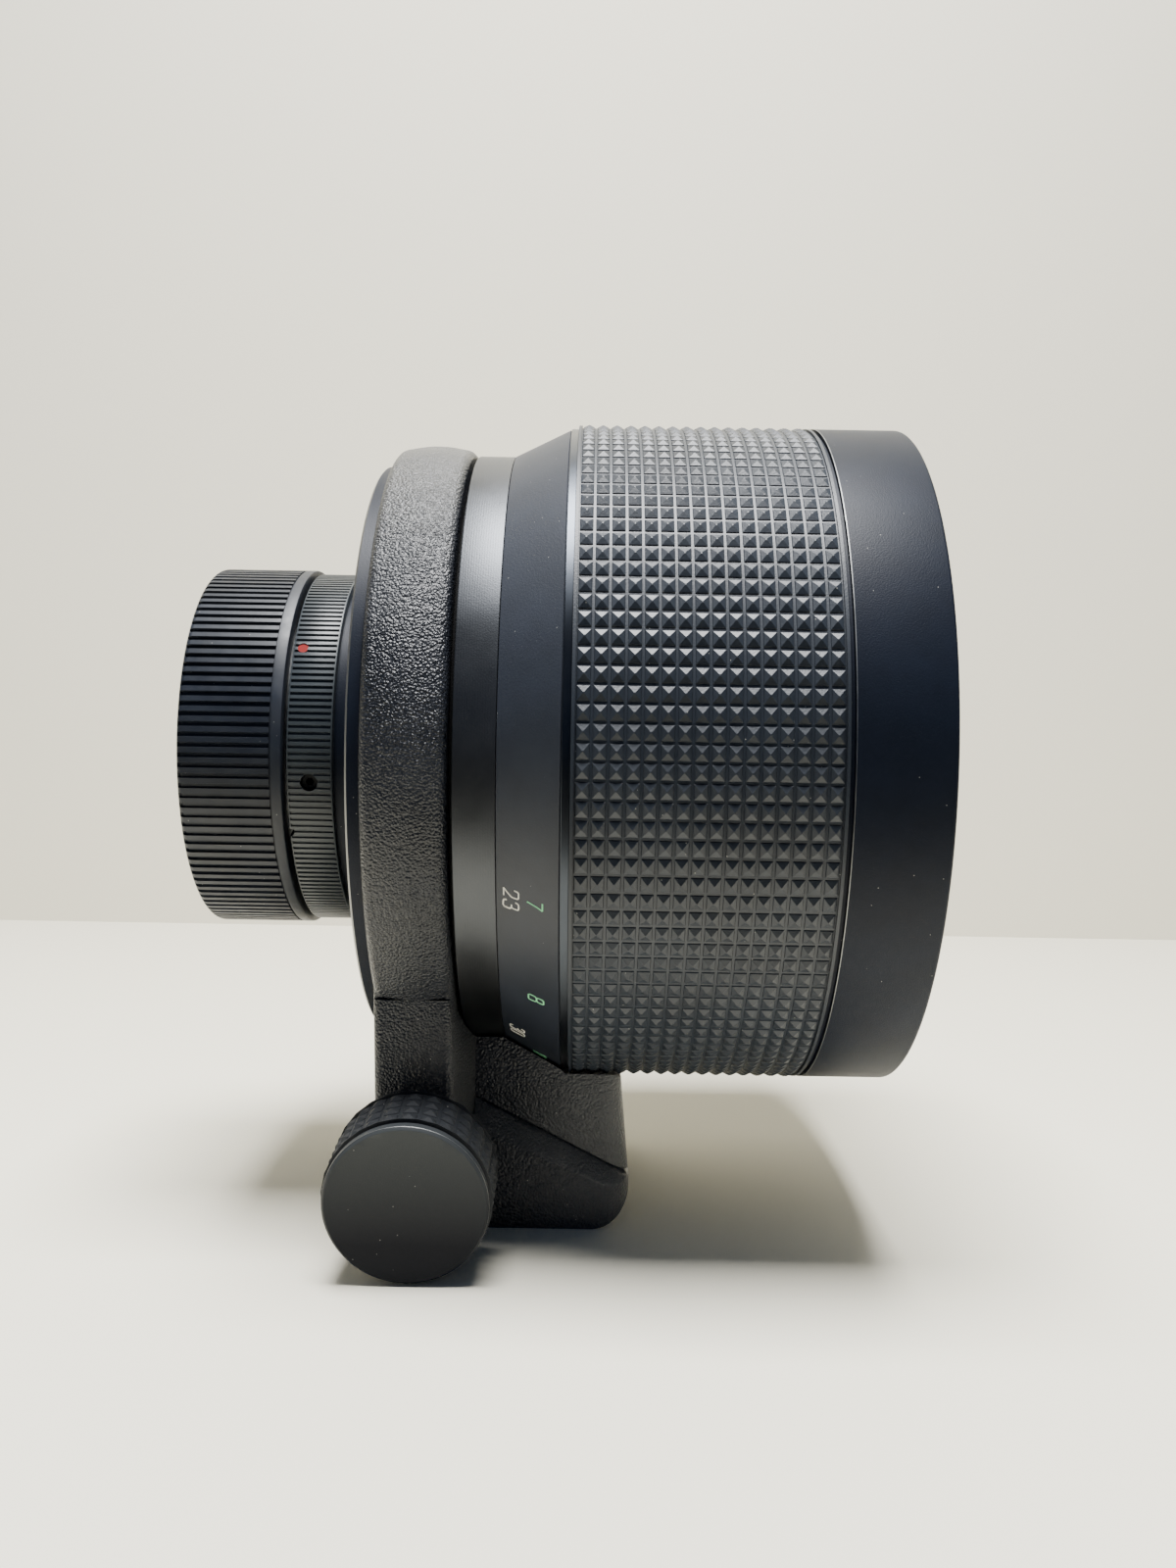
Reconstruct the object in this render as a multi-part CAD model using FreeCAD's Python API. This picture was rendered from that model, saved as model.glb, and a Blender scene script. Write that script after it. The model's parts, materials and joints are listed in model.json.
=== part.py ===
"""Mirror lens with a tripod collar, a screw-on camera adapter and a rear cap.

Millimetres. The optical axis runs along X with the front at +X, and +Z is up. The origin is the mouth of
the tripod socket, in the middle of the toe of the foot, so the lens axis lies at Z = axis_height. Angles
round the lens are counted from the -Y side, up towards +Z.
"""

import FreeCAD
import Part

import math
import os

Vector = FreeCAD.Vector

# Foot
lens_clearance = 20.1
toe_length = 24.2
toe_width = 46.0
seam_height_rear = 19.8
seam_height_front = 7.8
bevel_run = 3.4
bevel_drop_rear = 4.2
bevel_drop_front = 2.5
toe_corner_radius = 4.5
toe_nose_radius = 6.1
heel_height = 5.0
heel_corner_radius = 2.0
socket_thread_radius = 3.175
socket_depth = 9.0
socket_bush_wall = 1.585
socket_bush_floor = 1.5

# Collar with its column and saddle
collar_width = 11.8
collar_wall = 4.6
collar_crown = 0.5
collar_edge_radius = 1.6
column_width = 68.2
flank_tilt = 7.7
column_front_setback = 0.6
column_front_slant = 10.4
column_edge_radius = 1.2
saddle_width = 39.2
saddle_corner_radius = 3.0
saddle_nose_setback = 0.1
saddle_nose_draft = 5.2
saddle_clearance = 0.5
clamp_slot = 1.6

# Screws that hold the foot
foot_screw_radius = 2.0
foot_screw_head_radius = 3.5
foot_screw_head_height = 3.6
foot_screw_bite = 5.0
foot_screw_sink = 0.4
heel_screw_spacing = 44.0
toe_screw_spacing = 22.0
toe_screw_setback = 10.0
hex_share = 0.5
screw_gap = 0.15

# Clamp knob
clamp_height = 13.9
clamp_setback = 5.05
clamp_screw_radius = 3.0
clamp_hole_gap = 0.3
clamp_bush_wall = 2.0
clamp_bush_length = 12.0
clamp_bush_setback = 2.5
washer_radius = 8.0
washer_thickness = 1.2
knob_neck_radius = 6.5
knob_neck_length = 3.15
knob_grip_length = 9.35
knob_grip_radius = 12.04
knob_grip_wall = 2.6
knob_grip_draft = 0.3
knob_grip_rows = 4
knob_grip_ridge = 0.7
knob_groove_width = 0.5
knob_groove_depth = 0.9
knob_plate_radius = 11.5
knob_plate_thickness = 1.6
knob_plate_chamfer = 0.35
knob_screw_bite = 8.0

# Running gaps
running_gap = 0.05
face_gap = 0.05

# How far a cutting body runs past the faces that it cuts
overshoot = 1.0

# Main tube and rear housing
tube_radius = 45.0
tube_wall = 2.2
rim_gap = 0.3
rim_length = 1.9
rim_height = 1.3
rim_worn_edge = 0.3
back_neck_length = 5.05
back_neck_radius = 27.6
back_taper = 0.7
spigot_wall = 2.3
spigot_length = 5.3
housing_floor = 4.6

# Index ring, focus ring and rubber grip
index_gap = 0.65
index_length = 5.7
index_wall = 3.2
ring_gap = 0.25
cone_step = 0.1
cone_length = 8.65
cone_drop = 0.2
stripe_groove = 0.15
stripe_length = 1.3
stripe_drop = 0.7
bearing_length = 13.0
sleeve_wall = 2.9
grip_wall = 3.7
grip_length = 36.2
grip_ridges = 16
grip_ridge_height = 0.75
grip_margin = 0.45
trim_length = 0.6
trim_drop = 0.7
stop_pin_radius = 1.5
stop_pin_setback = 4.6
stop_pin_angle = 90.0
stop_pin_seat = 3.0
stop_groove_depth = 1.3
stop_groove_gap = 0.15
focus_throw = 120.0
focus_travel = 4.0

# Front group
front_gap = 0.3
front_length = 13.2
front_web_height = 4.25
front_shell_wall = 2.25
front_web_length = 3.6
front_chamfer = 0.4
filter_thread_radius = 47.5
filter_thread_length = 5.0
helicoid_wall = 1.7
helicoid_reach = 28.4
cell_lip_length = 2.0
cell_lip_height = 2.5
tube_end_gap = 0.5
corrector_edge = 5.0
corrector_gap = 0.1
corrector_land = 2.9
corrector_front_curve = 240.0
corrector_rear_curve = 300.0
retainer_length = 1.8
retainer_setback = 3.1
key_width = 5.0
key_length = 6.0
key_gap = 0.1
key_top_gap = 0.3
key_screw_radius = 1.0
key_count = 3
first_key_angle = 90.0

# Mirrors and baffles
primary_edge = 18.0
primary_gap = 0.2
primary_hole_radius = 14.0
primary_rear_curve = 200.0
primary_front_curve = 180.0
primary_retainer_length = 2.5
primary_retainer_wall = 2.8
baffle_gap = 0.5
baffle_wall = 1.1
baffle_reach = 20.0
secondary_radius = 15.0
secondary_thickness = 4.0
secondary_baffle_wall = 0.9
secondary_baffle_gap = 0.2
secondary_baffle_length = 12.0
secondary_cover_overlap = 0.8
secondary_cover_thickness = 1.2

# Rear lens cell and rear filter
cell_wall = 2.7
thread_stub_length = 5.2
thread_stub_wall = 2.8
rear_lens_front_thickness = 2.2
rear_spacer_length = 1.2
rear_lens_back_thickness = 2.4
rear_retainer_length = 1.4
rear_lens_curve = 240.0
rear_ring_wall = 1.7
filter_ring_length = 2.0
filter_ring_wall = 1.9
filter_glass_thickness = 1.4

# Camera adapter
adapter_thread_radius = 21.0
thread_ring_wall = 4.2
adapter_wall = 3.65
adapter_length = 6.8
adapter_flange = 0.5
throat_radius = 22.2
throat_wall = 1.6
bayonet_length = 5.4
lug_height = 2.2
lug_thickness = 1.5
lug_angle = 52.0
lug_count = 3
first_lug_angle = 90.0
notch_radius = 0.7
notch_angle = -26.0
grub_screw_radius = 1.15
grub_screw_sink = 0.95
grub_screw_setback = 4.0
grub_screw_angle = -10.1
grub_screw_count = 3
dot_radius = 0.8
dot_depth = 0.5
dot_sink = 0.15
dot_setback = 1.45
dot_angle = 31.8

# Rear cap
cap_gap = 0.65
cap_depth = 15.55
cap_wall = 2.65
cap_floor = 2.0
cap_inner_gap = 0.8
cap_flange_length = 1.5
cap_groove_width = 0.3
cap_groove_depth = 0.25
cap_edge_radius = 0.8
cap_recess_depth = 0.5
cap_recess_margin = 6.5
cap_lug_gap = 0.3
cap_lug_angle = 40.0
cap_lug_thickness = 1.4
cap_lug_setback = 1.4

# Radii from the main tube outwards
bearing_radius = tube_radius + running_gap
collar_radius = bearing_radius + collar_wall
tube_bore = tube_radius - tube_wall
rim_radius = tube_radius + rim_height
index_radius = tube_radius + index_wall
helicoid_radius = bearing_radius + helicoid_wall
sleeve_bore = helicoid_radius + running_gap
sleeve_radius = sleeve_bore + sleeve_wall
grip_radius = sleeve_radius + grip_wall
stripe_radius = grip_radius - stripe_drop
front_shell_bore = helicoid_radius + front_web_height
front_radius = front_shell_bore + front_shell_wall

# Height of the lens axis: the grip clears the floor by lens_clearance
axis_height = lens_clearance + grip_radius

# Places along the axis, forwards from the collar
foot_front = toe_length / 2
heel_front = -toe_length / 2
column_slant_run = (column_width - saddle_width) / 2 * math.tan(math.radians(column_front_slant))
column_edge_x = heel_front - column_slant_run
collar_front = column_edge_x + column_front_setback
collar_rear = collar_front - collar_width
index_rear = collar_front + index_gap
index_front = index_rear + index_length
cone_rear = index_front + ring_gap
cone_front = cone_rear + cone_length
grip_rear = cone_front + stripe_length
grip_front = grip_rear + grip_length
trim_front = grip_front + trim_length
shell_rear = trim_front + front_gap
shell_front = shell_rear + front_length
thread_floor = shell_front - filter_thread_length
corrector_front = thread_floor - retainer_setback - retainer_length
corrector_rear = corrector_front - corrector_edge
cell_lip_rear = corrector_rear - cell_lip_length
tube_front = cell_lip_rear - tube_end_gap
helicoid_rear = shell_rear - helicoid_reach

# Places along the axis, backwards from the collar
rim_front = collar_rear - rim_gap
rim_rear = rim_front - rim_length
shoulder = rim_rear - back_neck_length
stub_rear = shoulder - thread_stub_length
adapter_rear = shoulder - adapter_length
bayonet_rear = adapter_rear - bayonet_length
cap_front = adapter_rear - cap_gap
cap_rear = cap_front - cap_depth
spigot_front = rim_front + spigot_length
primary_front = spigot_front + primary_edge
rear_lens_back_rear = stub_rear + rear_retainer_length
rear_spacer_rear = rear_lens_back_rear + rear_lens_back_thickness
rear_lens_front_rear = rear_spacer_rear + rear_spacer_length
cell_front = rear_lens_front_rear + rear_lens_front_thickness
housing_inner = cell_front + housing_floor

# Clamp axis: where it meets the tilted flank of the column
flank_run = math.tan(math.radians(flank_tilt))
flank_top_y = -column_width / 2
flank_top_z = axis_height - math.sqrt(collar_radius ** 2 - flank_top_y ** 2)
clamp_x = collar_front - clamp_setback
clamp_y = flank_top_y + (flank_top_z - clamp_height) * flank_run

# The column and the saddle are made up to this height, inside the lens, before they are hollowed out
block_top = axis_height - saddle_width / 2


def turned(outline):
    """Solid of revolution about the X axis. Each step is (x, r), or an arc as (middle x, middle r, x, r)."""
    edges = []
    here = Vector(outline[0][0], 0, outline[0][1])
    for step in outline[1:] + outline[:1]:
        there = Vector(step[-2], 0, step[-1])
        if len(step) == 4:
            middle = Vector(step[0], 0, step[1])
            edges.append(Part.Arc(here, middle, there).toShape())
        elif here.distanceToPoint(there) > 1e-7:
            edges.append(Part.LineSegment(here, there).toShape())
        here = there
    face = Part.Face(Part.Wire(edges))
    return face.revolve(Vector(0, 0, 0), Vector(1, 0, 0), 360)


def rod(x_from, x_to, radius):
    """Cylinder along X."""
    return Part.makeCylinder(radius, x_to - x_from, Vector(x_from, 0, 0), Vector(1, 0, 0))


def tube(x_from, x_to, inner, outer):
    """Plain ring along X."""
    return rod(x_from, x_to, outer).cut(rod(x_from, x_to, inner))


def outwards(angle):
    """Unit vector away from the axis at this angle round the lens."""
    turn = math.radians(angle)
    return Vector(0, -math.cos(turn), math.sin(turn))


def radial_pin(x, angle, r_from, r_to, radius):
    """Cylinder that points away from the axis."""
    out = outwards(angle)
    return Part.makeCylinder(radius, r_to - r_from, Vector(x, 0, 0) + out * r_from, out)


def round_the_axis(shape, angle):
    """Copy of a shape made at angle 0, carried to this angle round the lens."""
    copy = shape.copy()
    copy.rotate(Vector(0, 0, 0), Vector(1, 0, 0), -angle)
    return copy


def sector(x_from, x_to, inner, outer, centre, width):
    """Part of a ring, width degrees long and centred at an angle round the lens."""
    corners = [
        Vector(x_from, -inner, 0),
        Vector(x_to, -inner, 0),
        Vector(x_to, -outer, 0),
        Vector(x_from, -outer, 0),
    ]
    face = Part.Face(Part.makePolygon(corners + corners[:1]))
    block = face.revolve(Vector(0, 0, 0), Vector(1, 0, 0), width)
    return round_the_axis(block, centre + width / 2)


def group(shapes):
    """Separate solids that share one node."""
    return Part.makeCompound(shapes)


def lifted(shape):
    """Moves a shape made about the X axis up to the lens axis."""
    shape.translate(Vector(0, 0, axis_height))
    return shape


def sag(curve, height):
    """Depth of a sphere of this radius at this height from its axis."""
    return curve - math.sqrt(curve ** 2 - height ** 2)


def prism(points, direction):
    """Straight solid on a closed outline of points."""
    face = Part.Face(Part.makePolygon(points + points[:1]))
    return face.extrude(direction)


def block(x_from, x_to, y_from, y_to, z_from, z_to):
    """Box between two corners."""
    return Part.makeBox(x_to - x_from, y_to - y_from, z_to - z_from, Vector(x_from, y_from, z_from))


def upright_edges(solid, lowest_rise):
    """Edges of a solid that mostly run up and down, for rounding."""
    found = []
    for edge in solid.Edges:
        first, last = edge.Vertexes[0].Point, edge.Vertexes[-1].Point
        if abs(last.z - first.z) > lowest_rise and abs(last.x - first.x) < abs(last.z - first.z) / 2:
            found.append(edge)
    return found


def front_corners(solid, lowest_rise):
    """The upright edges at the front end of a solid."""
    middle = solid.BoundBox.Center.x
    return [edge for edge in upright_edges(solid, lowest_rise) if edge.CenterOfMass.x > middle]


def seam_height(x):
    """Height of the sloping joint between the saddle and the toe."""
    share = (x - heel_front) / (foot_front - heel_front)
    return seam_height_rear + share * (seam_height_front - seam_height_rear)


def lens_envelope(clearance):
    """Space that the turning lens sweeps in front of the collar, with clearance all round."""
    return turned(
        [
            (collar_front, 0),
            (collar_front, index_radius + clearance),
            (index_front, index_radius + clearance),
            (cone_front, stripe_radius + clearance),
            (grip_rear - clearance, grip_radius + clearance),
            (foot_front + overshoot, grip_radius + clearance),
            (foot_front + overshoot, 0),
        ]
    )


def collar_band():
    """Crowned ring that the lens turns in."""
    edge = collar_edge_radius
    low = collar_radius - collar_crown
    slack = edge * (1 - math.sqrt(0.5))
    return turned(
        [
            (collar_rear, bearing_radius),
            (collar_rear, low - edge),
            (collar_rear + slack, low - slack, collar_rear + edge, low),
            ((collar_rear + collar_front) / 2, collar_radius, collar_front - edge, low),
            (collar_front - slack, low - slack, collar_front, low - edge),
            (collar_front, bearing_radius),
        ]
    )


def column_block(z_from, z_to):
    """Tapered column between two heights, with its slanting front face."""
    half_low = -flank_top_y - (flank_top_z - z_from) * flank_run
    half_high = -flank_top_y - (flank_top_z - z_to) * flank_run
    outline = [
        Vector(collar_rear, -half_low, z_from),
        Vector(collar_rear, half_low, z_from),
        Vector(collar_rear, half_high, z_to),
        Vector(collar_rear, -half_high, z_to),
    ]
    column = prism(outline, Vector(heel_front - collar_rear, 0, 0))
    wide = column_width / 2
    inner_y = saddle_width / 2
    plan = [
        Vector(collar_rear, -wide, z_from),
        Vector(column_edge_x, -wide, z_from),
        Vector(heel_front, -inner_y, z_from),
        Vector(heel_front, inner_y, z_from),
        Vector(column_edge_x, wide, z_from),
        Vector(collar_rear, wide, z_from),
    ]
    return column.common(prism(plan, Vector(0, 0, z_to - z_from)))


def saddle_block():
    """Block under the front of the lens, on the sloping joint, with a slightly leaning nose."""
    nose_low = foot_front - saddle_nose_setback
    rise = block_top - seam_height_front
    nose_high = nose_low - rise * math.tan(math.radians(saddle_nose_draft))
    half = saddle_width / 2
    side = [
        Vector(heel_front, -half, seam_height(heel_front)),
        Vector(nose_low, -half, seam_height(nose_low)),
        Vector(nose_high, -half, block_top),
        Vector(heel_front, -half, block_top),
    ]
    saddle = prism(side, Vector(0, saddle_width, 0))
    return saddle.makeFillet(saddle_corner_radius, front_corners(saddle, saddle_corner_radius))


def clamp_rod(start, end, radius):
    """Cylinder along the clamp axis. Distances are counted outwards from the column's flank."""
    tilt = math.radians(flank_tilt)
    out = Vector(0, -math.cos(tilt), -math.sin(tilt))
    foot = Vector(clamp_x, clamp_y, clamp_height)
    return Part.makeCylinder(radius, end - start, foot + out * start, out)


def bush_start():
    """Distance inwards along the clamp axis from the flank to the near end of the threaded bush."""
    beyond_slot = clamp_slot / 2 + clamp_bush_setback
    return (beyond_slot - clamp_y) / math.cos(math.radians(flank_tilt))


def foot_screw_places():
    """Plan position of each foot screw and the height of the joint above it."""
    heel_x = (collar_rear + heel_front) / 2
    toe_x = foot_front - toe_screw_setback
    places = []
    for side in (-1, 1):
        places.append((heel_x, side * heel_screw_spacing / 2, heel_height))
        places.append((toe_x, side * toe_screw_spacing / 2, seam_height(toe_x)))
    return places


def collar():
    """Ring, column and saddle in one casting, cut open below so that the clamp screw can close the ring."""
    column = column_block(heel_height, block_top)
    column = column.makeFillet(column_edge_radius, upright_edges(column, heel_height))
    under_ring = block(collar_rear, foot_front, -axis_height, axis_height, 0, flank_top_z)
    within_ring = lifted(rod(collar_rear, collar_front, collar_radius - collar_crown))
    body = column.common(under_ring.fuse(within_ring))
    body = body.fuse([lifted(collar_band()), saddle_block()])
    body = body.cut(lifted(rod(collar_rear - overshoot, collar_front + overshoot, bearing_radius)))
    body = body.cut(lifted(lens_envelope(saddle_clearance)))
    slot = block(collar_rear - overshoot, foot_front + overshoot, -clamp_slot / 2, clamp_slot / 2,
                 0, axis_height)
    body = body.cut(slot)
    start = bush_start()
    body = body.cut(clamp_rod(-start - clamp_bush_length - clamp_bush_setback, overshoot,
                              clamp_screw_radius + clamp_hole_gap))
    body = body.cut(clamp_rod(-start - clamp_bush_length, -start, clamp_screw_radius + clamp_bush_wall))
    for x, y, joint in foot_screw_places():
        body = body.cut(Part.makeCylinder(foot_screw_radius, joint + foot_screw_bite, Vector(x, y, 0)))
    return body.removeSplitter()


def toe_section(x, drop):
    """Cross-section of the toe at x: upright sides and a bevel up to the joint."""
    half = toe_width / 2
    top = seam_height(x)
    points = [
        Vector(x, -half, 0),
        Vector(x, -half, top - drop),
        Vector(x, bevel_run - half, top),
        Vector(x, half - bevel_run, top),
        Vector(x, half, top - drop),
        Vector(x, half, 0),
    ]
    return Part.makePolygon(points + points[:1])


def rounded_plan(x_from, x_to, half_width, radius, height):
    """Upright block whose two front corners are rounded."""
    solid = block(x_from, x_to, -half_width, half_width, 0, height)
    return solid.makeFillet(radius, front_corners(solid, height / 2))


def foot_base():
    """Wide heel under the column and a long bevelled toe under the saddle."""
    sections = [toe_section(heel_front, bevel_drop_rear), toe_section(foot_front, bevel_drop_front)]
    toe = Part.makeLoft(sections, True, True)
    toe = toe.common(rounded_plan(collar_rear, foot_front, toe_width / 2, toe_corner_radius, axis_height))
    under = block(collar_rear, heel_front, -toe_width / 2, toe_width / 2, 0, heel_height)
    nose = block(foot_front - toe_nose_radius, foot_front + overshoot, -toe_width, toe_width,
                 -overshoot, toe_nose_radius)
    curl = Part.makeCylinder(toe_nose_radius, 2 * toe_width,
                             Vector(foot_front - toe_nose_radius, -toe_width, toe_nose_radius),
                             Vector(0, 1, 0))
    toe = toe.cut(nose.cut(curl))
    heel = column_block(0, heel_height)
    heel = heel.makeFillet(heel_corner_radius, upright_edges(heel, heel_height / 2))
    heel = heel.common(block(collar_rear, heel_front, -axis_height, axis_height, 0, heel_height))
    base = toe.fuse([under, heel])
    bush_radius = socket_thread_radius + socket_bush_wall
    base = base.cut(Part.makeCylinder(bush_radius, socket_depth + socket_bush_floor))
    for x, y, joint in foot_screw_places():
        base = base.cut(Part.makeCylinder(foot_screw_radius + screw_gap, joint + overshoot,
                                          Vector(x, y, 0)))
        head_room = foot_screw_head_height + foot_screw_sink
        base = base.cut(Part.makeCylinder(foot_screw_head_radius + screw_gap, head_room, Vector(x, y, 0)))
    return base.removeSplitter()


def tripod_bush():
    """Steel insert with the tripod thread."""
    outer = socket_thread_radius + socket_bush_wall
    bush = Part.makeCylinder(outer, socket_depth + socket_bush_floor)
    return bush.cut(Part.makeCylinder(socket_thread_radius, socket_depth))


def hex_socket(across, depth):
    """Six-sided recess that opens at Z = 0 and goes up."""
    corner = across / math.sqrt(3)
    points = []
    for step in range(6):
        turn = math.radians(60 * step)
        points.append(Vector(corner * math.cos(turn), corner * math.sin(turn), 0))
    return prism(points, Vector(0, 0, depth))


def foot_screw(joint):
    """Socket-head screw that points up, with the underside of its head at the counterbore's floor."""
    head = Part.makeCylinder(foot_screw_head_radius, foot_screw_head_height, Vector(0, 0, foot_screw_sink))
    shank_length = joint + foot_screw_bite - foot_screw_sink
    shank = Part.makeCylinder(foot_screw_radius, shank_length, Vector(0, 0, foot_screw_sink))
    recess = hex_socket(foot_screw_head_radius * 2 * hex_share, foot_screw_head_height * hex_share)
    recess.translate(Vector(0, 0, foot_screw_sink))
    return head.fuse(shank).cut(recess)


def foot_screws():
    """The screws that hold the foot under the collar."""
    screws = []
    for x, y, joint in foot_screw_places():
        screw = foot_screw(joint)
        screw.translate(Vector(x, y, 0))
        screws.append(screw)
    return group(screws)


def clamp_bush():
    """Threaded steel bush in the far cheek of the column."""
    start = bush_start()
    outer = clamp_rod(-start - clamp_bush_length, -start, clamp_screw_radius + clamp_bush_wall)
    return outer.cut(clamp_rod(-start - clamp_bush_length, -start, clamp_screw_radius + running_gap))


washer_end = face_gap + washer_thickness
neck_start = washer_end + face_gap
knob_start = neck_start + knob_neck_length
groove_start = knob_start + knob_grip_length
plate_start = groove_start + knob_groove_width
plate_end = plate_start + knob_plate_thickness
knob_core_radius = knob_grip_radius - knob_grip_wall


def thrust_washer():
    """Washer between the column and the knob."""
    disc = clamp_rod(face_gap, washer_end, washer_radius)
    return disc.cut(clamp_rod(face_gap, washer_end, clamp_screw_radius + running_gap))


def on_clamp_axis(shape):
    """Carries a shape turned about X to the clamp axis, with +X pointing away from the column."""
    tilt = math.radians(flank_tilt)
    out = Vector(0, -math.cos(tilt), -math.sin(tilt))
    shape.Placement = FreeCAD.Placement(
        Vector(clamp_x, clamp_y, clamp_height), FreeCAD.Rotation(Vector(1, 0, 0), out)
    )
    return shape


def knob_body():
    """Metal knob: neck, core, narrow groove and flat face plate."""
    groove_radius = knob_plate_radius - knob_groove_depth
    knob = turned(
        [
            (neck_start, clamp_screw_radius),
            (neck_start, knob_neck_radius),
            (knob_start, knob_neck_radius),
            (knob_start, knob_core_radius),
            (groove_start, knob_core_radius),
            (groove_start, groove_radius),
            (plate_start, groove_radius),
            (plate_start, knob_plate_radius),
            (plate_end - knob_plate_chamfer, knob_plate_radius),
            (plate_end, knob_plate_radius - knob_plate_chamfer),
            (plate_end, 0),
            (knob_start + knob_screw_bite, 0),
            (knob_start + knob_screw_bite, clamp_screw_radius),
        ]
    )
    return on_clamp_axis(knob)


def knob_grip():
    """Ridged rubber ring on the knob, a little narrower towards the face."""
    row = knob_grip_length / knob_grip_rows
    outline = [(knob_start, knob_core_radius)]
    for index in range(knob_grip_rows):
        for share, lower in ((0, knob_grip_ridge), (0.5, 0)):
            along = (index + share) * row
            radius = knob_grip_radius - knob_grip_draft * along / knob_grip_length - lower
            outline.append((knob_start + along, radius))
    outline.append((groove_start, knob_grip_radius - knob_grip_draft - knob_grip_ridge))
    outline.append((groove_start, knob_core_radius))
    return on_clamp_axis(turned(outline))


def clamp_screw():
    """Steel screw through both cheeks of the column, fixed in the knob."""
    return clamp_rod(-bush_start() - clamp_bush_length, knob_start + knob_screw_bite, clamp_screw_radius)


def rear_housing():
    """Rear casting: flat back and neck, rim behind the collar, spigot in the tube, male adapter thread."""
    stub_bore = adapter_thread_radius - thread_stub_wall
    baffle_radius = primary_hole_radius - baffle_gap
    return lifted(
        turned(
            [
                (stub_rear, stub_bore),
                (stub_rear, adapter_thread_radius),
                (shoulder, adapter_thread_radius),
                (shoulder, back_neck_radius),
                (rim_rear - back_taper, back_neck_radius),
                (rim_rear, rim_radius - rim_worn_edge),
                (rim_rear + rim_worn_edge, rim_radius),
                (rim_front, rim_radius),
                (rim_front, tube_bore),
                (spigot_front, tube_bore),
                (spigot_front, tube_bore - spigot_wall),
                (housing_inner, tube_bore - spigot_wall),
                (housing_inner, baffle_radius),
                (cell_front, baffle_radius),
                (cell_front, stub_bore),
            ]
        )
    )


def stop_groove(depth_from, depth_to):
    """Groove in which the focus stop pin runs, long enough for the whole throw."""
    pin_x = cone_rear + stop_pin_setback
    half = stop_pin_radius + stop_groove_gap
    end_slack = math.degrees(half / depth_to)
    centre = stop_pin_angle - focus_throw / 2
    return sector(pin_x - half, pin_x + half, depth_from, depth_to, centre, focus_throw + 2 * end_slack)


def key_places():
    """Angles of the guide keys round the lens."""
    return [first_key_angle + 360 / key_count * index for index in range(key_count)]


def key_centre():
    """Place of the guide keys along the axis."""
    return helicoid_rear + focus_travel + key_length / 2


def main_tube():
    """Tube that carries the mirror, the index ring and the focusing parts."""
    wall = tube(rim_front, tube_front, tube_bore, tube_radius)
    wall = wall.cut(stop_groove(tube_radius - stop_groove_depth, tube_radius + overshoot))
    for angle in key_places():
        wall = wall.cut(radial_pin(key_centre(), angle, tube_bore - overshoot, tube_radius + overshoot,
                                   key_screw_radius))
    return lifted(wall)


def index_ring():
    """Satin ring in front of the collar, which carries the focus index."""
    return lifted(tube(index_rear, index_front, tube_radius, index_radius))


def focus_ring():
    """Scale cone and sleeve with the inner focusing thread."""
    small = index_radius + cone_step
    big = stripe_radius - cone_drop
    ring = turned(
        [
            (cone_rear, bearing_radius),
            (cone_rear, small),
            (cone_front, big),
            (cone_front, big - stripe_groove),
            (cone_front + stripe_groove, big - stripe_groove),
            (cone_front + stripe_groove, stripe_radius),
            (grip_rear, stripe_radius),
            (grip_rear, sleeve_radius),
            (grip_front, sleeve_radius),
            (grip_front, sleeve_bore),
            (cone_rear + bearing_length, sleeve_bore),
            (cone_rear + bearing_length, bearing_radius),
        ]
    )
    seat = radial_pin(cone_rear + stop_pin_setback, stop_pin_angle, bearing_radius - overshoot,
                      tube_radius + stop_pin_seat, stop_pin_radius)
    return lifted(ring.cut(seat))


def focus_stop_pin():
    """Pin in the focus ring that stops it at both ends of the groove."""
    tip = tube_radius - stop_groove_depth + 2 * stop_groove_gap
    return lifted(radial_pin(cone_rear + stop_pin_setback, stop_pin_angle, tip,
                             tube_radius + stop_pin_seat, stop_pin_radius))


def focus_grip():
    """Rubber sleeve with ridges round it and a plain margin at each end."""
    valley = grip_radius - grip_ridge_height
    first = grip_rear + grip_margin
    pitch = (grip_length - 2 * grip_margin) / grip_ridges
    outline = [(grip_rear, sleeve_radius), (grip_rear, valley)]
    for index in range(grip_ridges):
        outline.append((first + index * pitch, valley))
        outline.append((first + (index + 0.5) * pitch, grip_radius))
    outline += [(grip_front - grip_margin, valley), (grip_front, valley), (grip_front, sleeve_radius)]
    return lifted(turned(outline))


def grip_trim_ring():
    """Thin ring that closes the front of the grip."""
    return lifted(tube(grip_front, trim_front, sleeve_bore, grip_radius - trim_drop))


def front_helicoid():
    """Inner tube of the front group: outer thread, key slots and the cell of the front lens."""
    body = turned(
        [
            (helicoid_rear, bearing_radius),
            (helicoid_rear, helicoid_radius),
            (thread_floor, helicoid_radius),
            (thread_floor, tube_radius),
            (corrector_rear, tube_radius),
            (corrector_rear, tube_radius - cell_lip_height),
            (cell_lip_rear, tube_radius - cell_lip_height),
            (cell_lip_rear, bearing_radius),
        ]
    )
    half = key_width / 2 + key_gap
    slot_end = key_centre() + key_length / 2 + 2 * key_gap
    slot = block(helicoid_rear - overshoot, slot_end, -helicoid_radius - overshoot, -tube_bore, -half, half)
    for angle in key_places():
        body = body.cut(round_the_axis(slot, angle))
    return lifted(body)


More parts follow.
